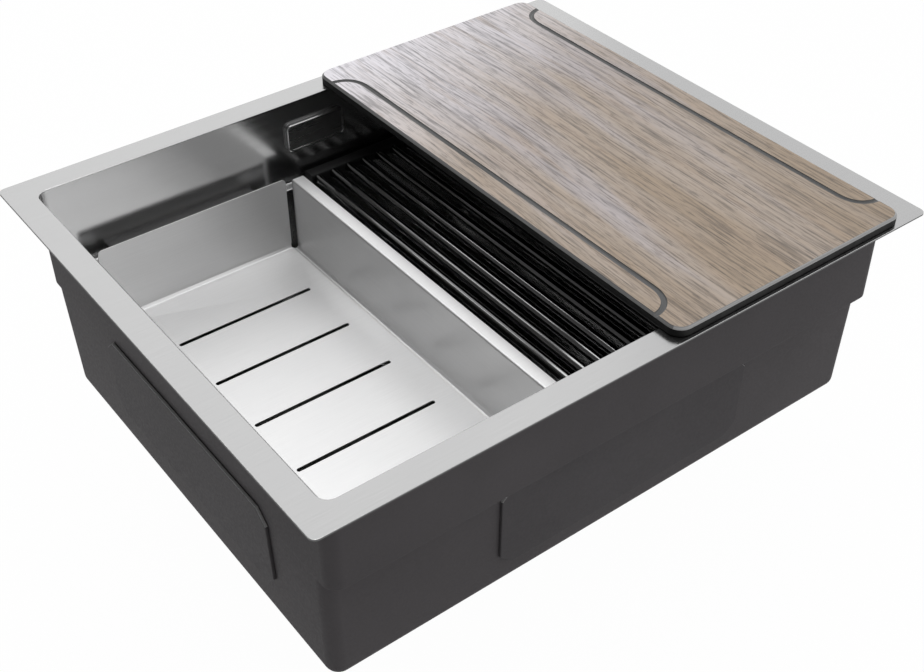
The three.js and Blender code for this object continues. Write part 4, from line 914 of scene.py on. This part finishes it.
def build_waste_body():
    """A cup with a threaded outlet, a side branch for the hose and a bridge for the clamp screw."""
    low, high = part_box("waste_body")
    total = (high.z - low.z) / MM
    depth = total - OUTLET_LENGTH
    thread = []
    for turn in range(OUTLET_THREADS):
        base = -total + THREAD_START + turn * THREAD_PITCH
        thread += [(OUTLET_RADIUS + out, base + up) for out, up in THREAD_PROFILE]
    bend_x, bend_y = BODY_RADIUS - BODY_ROUND, BODY_ROUND - depth
    inner = BODY_ROUND - BODY_WALL
    bevel, flange, under = BODY_BEVEL, BODY_FLANGE_RADIUS, -BODY_FLANGE_HEIGHT
    outline = [(OUTLET_BORE, -total), (OUTLET_RADIUS - bevel, -total),
               (OUTLET_RADIUS, -total + bevel)] + thread
    outline += [(OUTLET_RADIUS, -depth - OUTLET_ROOT_BEVEL),
                (OUTLET_RADIUS + OUTLET_ROOT_BEVEL, -depth)]
    outline += arc_points(bend_x, bend_y, BODY_ROUND, -math.pi / 2, 0)
    outline += [(BODY_RADIUS, under - bevel), (BODY_RADIUS + bevel, under),
                (flange - bevel, under), (flange, under + bevel), (flange, -bevel),
                (flange - bevel, 0), (BODY_RADIUS - BODY_WALL, 0)]
    outline += arc_points(bend_x, bend_y, inner, 0, -math.pi / 2)
    outline.append((OUTLET_BORE, BODY_WALL - depth))
    centre = Vector((DRAIN_X * MM, DRAIN_Y * MM, high.z))
    body = to_object("waste_cup", lathe(outline, centre), "sink", [PLASTIC])
    branch_z = high.z - BRANCH_DEPTH * MM
    root = Vector((centre.x, centre.y + (BODY_RADIUS - BRANCH_ROOT) * MM, branch_z))
    tip = Vector((centre.x, high.y, branch_z))
    floor_z = high.z - depth * MM
    reach_x, reach_y = BRIDGE_LENGTH / 2 * MM, BRIDGE_WIDTH / 2 * MM
    bridge = tool_prism([(centre.x + sx * reach_x, centre.y + sy * reach_y)
                         for sx, sy in ((-1, -1), (1, -1), (1, 1), (-1, 1))],
                        floor_z + BRIDGE_LEVELS[0] * MM, floor_z + BRIDGE_LEVELS[1] * MM)
    hub = tool_prism(round_points(centre.x, centre.y, HUB_RADIUS, HUB_SIDES),
                     floor_z, floor_z + HUB_HEIGHT * MM)
    subtract(body, round_bar(HOSE_RADIUS, root, tip), bridge, hub, operation="UNION")
    hole_ring = round_points(centre.x, centre.y, SCREW_HOLE_RADIUS, SCREW_HOLE_SIDES)
    screw_hole = tool_prism(hole_ring, floor_z - MM, floor_z + (HUB_HEIGHT + 1) * MM)
    past = Vector((0, MM, 0))
    subtract(body, round_bar(HOSE_BORE, root - past, tip + past), screw_hole)
    stand_in(body, "waste_body")


def build_hose():
    """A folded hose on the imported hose's own centre line, with plain cuffs at both ends."""
    low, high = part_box("overflow_hose")
    x = (low.x + high.x) / 2
    top_y = high.y - HOSE_RADIUS * MM
    end_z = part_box("waste_body")[1].z - BRANCH_DEPTH * MM
    turn = HOSE_TURN * MM
    start, end = Vector((x, top_y, high.z)), Vector((x, low.y, end_z))
    corner = Vector((x, top_y, end_z))
    bend_in, bend_out = corner + Vector((0, 0, turn)), corner - Vector((0, turn, 0))
    count = round((start - bend_in).length / MM)
    path = [start.lerp(bend_in, n / count) for n in range(count)]
    for n in range(HOSE_BEND_STEPS):
        share = n / HOSE_BEND_STEPS
        path.append(bend_in.lerp(corner, share).lerp(corner.lerp(bend_out, share), share))
    count = max(2, round((bend_out - end).length / MM))
    path += [bend_out.lerp(end, n / count) for n in range(count + 1)]
    run = [0.0]
    for before, after in zip(path, path[1:]):
        run.append(run[-1] + (after - before).length / MM)
    outer, bore = [], []
    for i, place in enumerate(path):
        along = (path[min(i + 1, len(path) - 1)] - path[max(i - 1, 0)]).normalized()
        across = Vector((0, -along.z, along.y))
        in_cuff = run[i] < HOSE_CUFF or run[i] > run[-1] - HOSE_CUFF
        fold = 0.0 if in_cuff else 0.5 - 0.5 * math.cos(2 * math.pi * run[i] / HOSE_PITCH)
        for rings, radius in ((outer, HOSE_RADIUS - HOSE_FOLD * fold), (bore, HOSE_BORE)):
            rings.append([place + Vector((a, 0, 0)) + b * across
                          for a, b in round_points(0, 0, radius, HOSE_SIDES)])
    bm = bmesh.new()
    loft(bm, outer + bore[::-1])
    hose = to_object("hose_folded", bm, "sink", [PLASTIC], HOSE_SHARP_ANGLE)
    stand_in(hose, "overflow_hose")


# outlines of the plain round parts: radius and height, from the top of the node down
UPPER_WASHER = ((44.9, -1), (54.2, -1), (54.5, -0.7), (54.5, -0.3), (54.2, 0), (44.9, 0))
LOWER_WASHER = ((44.9, -3), (53.2, -3), (53.6, -2.7), (54.5, -0.3), (54.2, 0), (44.9, 0))
TAIL_TUBE = ((17.6, -30), (19.5, -30), (20, -29.5), (20, -1.6), (22.4, -1.6), (22.8, -1.2),
             (22.8, -0.4), (22.4, 0), (17.6, 0))
UNION_NUT = ((20.4, -19), (26.5, -19), (27.6, -18.5), (28, -17.5), (28, -16.9), (28, -16.7),
             (28, -2.3), (28, -2.1), (28, -1.5), (27.6, -0.5), (26.5, 0), (23.4, 0),
             (23.4, -15), (20.4, -15))

turned("waste_washer_top", "washer_upper", UPPER_WASHER, RUBBER)
turned("waste_washer_under", "washer_lower", LOWER_WASHER, RUBBER)
turned("tail_pipe", "tail_tube", TAIL_TUBE, PLASTIC)
turned("union_nut", "nut_ribbed", UNION_NUT, PLASTIC, grip)
build_waste_body()
build_hose()


# ================= carried-over nodes =================

def finer(node, name, body, material, width, segments=1, angle=40):
    """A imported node's form with its flat facets joined and its edges rounded."""
    bm = from_node(node)
    bmesh.ops.dissolve_limit(bm, angle_limit=math.radians(FLAT_ANGLE),
                             verts=bm.verts, edges=bm.edges)
    made = to_object(name, bm, body, [material], angle)
    soften(made, width, segments, angle)
    stand_in(made, node)
    return made


def build_cover():
    """The overflow's cover: dark side walls between polished rounds lightened as a painted
    highlight.
    """
    cover = finer("overflow_cover", "cover_plate", "sink", STEEL_COVER,
                  0.6, 3, SHARP_ANGLE)
    cover.data.materials.append(STEEL_BORDER_PAINTED_HIGHLIGHT)
    cover.data.materials.append(STEEL_CUT)
    # the rounds take the lightened polished steel: painted highlight
    cover.modifiers["edge"].material = 1
    for face in cover.data.polygons:
        if abs(face.normal.y) < 0.5:
            face.material_index = 2


finer("pan_sheet", "pan_body", "pan", STEEL_PAN, 0.22)
finer("pan_hanger_back", "pan_angle_back", "pan", STEEL_ANGLE, 0.2)
finer("pan_hanger_front", "pan_angle_front", "pan", STEEL_ANGLE, 0.2)
finer("pan_glide_back", "pan_pad_back", "pan", SILICONE, 0.35, 3, SHARP_ANGLE)
finer("pan_glide_front", "pan_pad_front", "pan", SILICONE, 0.35, 3, SHARP_ANGLE)
finer("rack_strip_back", "strip_back", "rack", SILICONE, 0.5, 2, 50)
finer("rack_strip_front", "strip_front", "rack", SILICONE, 0.5, 2, 50)
build_cover()
finer("overflow_housing", "overflow_box", "sink", PLASTIC, 0.5, 2, SHARP_ANGLE)
finer("overflow_seal", "overflow_gasket", "sink", RUBBER, 0.2, 1, SHARP_ANGLE)
for side in ("left", "right", "front", "back"):
    finer(f"sound_pad_{side}", f"damping_pad_{side}", "sink", PAD_DARK_PAINTED_TOP_LIGHT, 0.6, 3, 25)


def smoothing_group(angle):
    """Smooth shading, with edges sharper than the angle left sharp."""
    tree = bpy.data.node_groups.new("smooth_by_angle", "GeometryNodeTree")
    tree.interface.new_socket("Geometry", in_out="INPUT", socket_type="NodeSocketGeometry")
    tree.interface.new_socket("Geometry", in_out="OUTPUT", socket_type="NodeSocketGeometry")
    start = tree.nodes.new("NodeGroupInput")
    end = tree.nodes.new("NodeGroupOutput")
    all_smooth = tree.nodes.new("GeometryNodeSetShadeSmooth")
    edges = tree.nodes.new("GeometryNodeSetShadeSmooth")
    edges.domain = "EDGE"
    edges.inputs["Shade Smooth"].default_value = False
    fold = tree.nodes.new("GeometryNodeInputMeshEdgeAngle")
    over = tree.nodes.new("FunctionNodeCompare")
    over.operation = "GREATER_THAN"
    over.inputs[1].default_value = math.radians(angle)
    tree.links.new(start.outputs[0], all_smooth.inputs[0])
    tree.links.new(fold.outputs[0], over.inputs[0])
    tree.links.new(all_smooth.outputs[0], edges.inputs[0])
    tree.links.new(over.outputs[0], edges.inputs["Selection"])
    tree.links.new(edges.outputs[0], end.inputs[0])
    return tree


def carried(node, material, group):
    """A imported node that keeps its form: joined facets, smooth shading and a better finish."""
    piece = nodes[node]
    stored = piece.data.attributes.get("custom_normal")
    if stored:
        piece.data.attributes.remove(stored)
    piece.data.materials.clear()
    piece.data.materials.append(material)
    weld = piece.modifiers.new("weld", "WELD")
    weld.merge_threshold = NODE_WELD
    piece.modifiers.new("smooth", "NODES").node_group = group


CARRIED = {
    "basket_cup": STEEL_SMALL, "basket_knob": STEEL_SMALL, "basket_stopper": RUBBER,
    "stopper_plate": STEEL_SCREW, "strainer_cup": STEEL_SMALL, "clamp_screw": STEEL_SCREW,
    "overflow_screw_left": STEEL_SCREW, "overflow_screw_right": STEEL_SCREW,
}
smooth_by_angle = smoothing_group(SHARP_ANGLE_CARRIED)
for node, finish in CARRIED.items():
    carried(node, finish, smooth_by_angle)


# ================= floor, light and camera =================

def build_floor():
    """A pale floor that keeps the shadow and is white to the camera and in reflections."""
    bm = bmesh.new()
    z = cad_low.z - FLOOR_GAP
    marks = [-FLOOR_REACH + 2 * FLOOR_REACH * n / FLOOR_TILES for n in range(FLOOR_TILES + 1)]
    rows = add_rows(bm, [[(x, y, z) for x in marks] for y in marks])
    for here, there in zip(rows, rows[1:]):
        for i in range(FLOOR_TILES):
            bm.faces.new((here[i], here[i + 1], there[i + 1], there[i]))
    floor = placed("floor", bm)
    s = Shade("floor_pale", (0.93, 0.93, 0.93), 0.9)
    cloud = s.noise(s.place, 3.0, 3.0)
    s.colour(s.ramp(cloud, (0.3, (0.92, 0.92, 0.92)), (0.7, (0.94, 0.94, 0.94))))
    path = s.add("ShaderNodeLightPath")
    seen = s.maths("MAXIMUM", path.outputs["Is Camera Ray"], path.outputs["Is Glossy Ray"])
    seen = s.maths("MAXIMUM", seen, path.outputs["Is Transmission Ray"])
    glow = s.add("ShaderNodeEmission")
    glow.inputs["Color"].default_value = (1, 1, 1, 1)
    glow.inputs["Strength"].default_value = 1.0
    blend = s.add("ShaderNodeMixShader")
    s.link(s.maths("MULTIPLY", seen, FLOOR_GLOW), blend.inputs[0])
    s.link(s.shader.outputs[0], blend.inputs[1])
    s.link(glow.outputs[0], blend.inputs[2])
    s.link(blend.outputs[0], s.tree.nodes["Material Output"].inputs["Surface"])
    floor.data.materials.append(s.material)


def build_world():
    """A white backdrop on the sink's right that fades into a softer room on its left."""
    world = bpy.data.worlds.new("studio")
    bpy.context.scene.world = world
    world.use_nodes = True
    tree = world.node_tree
    room = tree.nodes["Background"]
    room.inputs["Color"].default_value = (1.0, 1.0, 1.0, 1)
    room.inputs["Strength"].default_value = ROOM_LIGHT
    white = tree.nodes.new("ShaderNodeBackground")
    white.inputs["Color"].default_value = (1.0, 1.0, 1.0, 1)
    white.inputs["Strength"].default_value = 1.0

    def larger(a, b):
        node = tree.nodes.new("ShaderNodeMath")
        node.operation = "MAXIMUM"
        tree.links.new(a, node.inputs[0])
        tree.links.new(b, node.inputs[1])
        return node.outputs[0]

    toward = tree.nodes.new("ShaderNodeVectorMath")
    toward.operation = "DOT_PRODUCT"
    toward.inputs[1].default_value = BACKDROP_SIDE
    tree.links.new(tree.nodes.new("ShaderNodeTexCoord").outputs["Generated"], toward.inputs[0])
    backdrop = tree.nodes.new("ShaderNodeMapRange")
    backdrop.interpolation_type = "SMOOTHSTEP"
    backdrop.inputs["From Min"].default_value = BACKDROP_FADE[0]
    backdrop.inputs["From Max"].default_value = BACKDROP_FADE[1]
    tree.links.new(toward.outputs["Value"], backdrop.inputs["Value"])
    path = tree.nodes.new("ShaderNodeLightPath")
    seen = larger(path.outputs["Is Camera Ray"], path.outputs["Is Transmission Ray"])
    blend = tree.nodes.new("ShaderNodeMixShader")
    tree.links.new(larger(seen, backdrop.outputs["Result"]), blend.inputs[0])
    tree.links.new(room.outputs[0], blend.inputs[1])
    tree.links.new(white.outputs[0], blend.inputs[2])
    tree.links.new(blend.outputs[0], tree.nodes["World Output"].inputs["Surface"])


def soft_box(name, place, aim, size, power):
    """A rectangular area light that looks at a point."""
    data = bpy.data.lights.new(name, "AREA")
    data.shape = "RECTANGLE"
    data.size, data.size_y = size
    data.energy = power
    lamp = bpy.data.objects.new(name, data)
    lamp.location = place
    lamp.rotation_euler = (Vector(aim) - Vector(place)).to_track_quat("-Z", "Y").to_euler()
    bpy.context.scene.collection.objects.link(lamp)


def build_camera():
    data = bpy.data.cameras.new("view")
    data.sensor_width = CAMERA_SENSOR
    data.lens = CAMERA_LENS
    camera = bpy.data.objects.new("view", data)
    camera.location = CAMERA_PLACE
    camera.rotation_euler = Euler([math.radians(a) for a in CAMERA_TURN], "XYZ")
    bpy.context.scene.collection.objects.link(camera)
    bpy.context.scene.camera = camera
    bpy.context.scene.view_settings.view_transform = "Standard"


build_floor()
build_world()
for lamp in LAMPS:
    soft_box(*lamp)
build_camera()
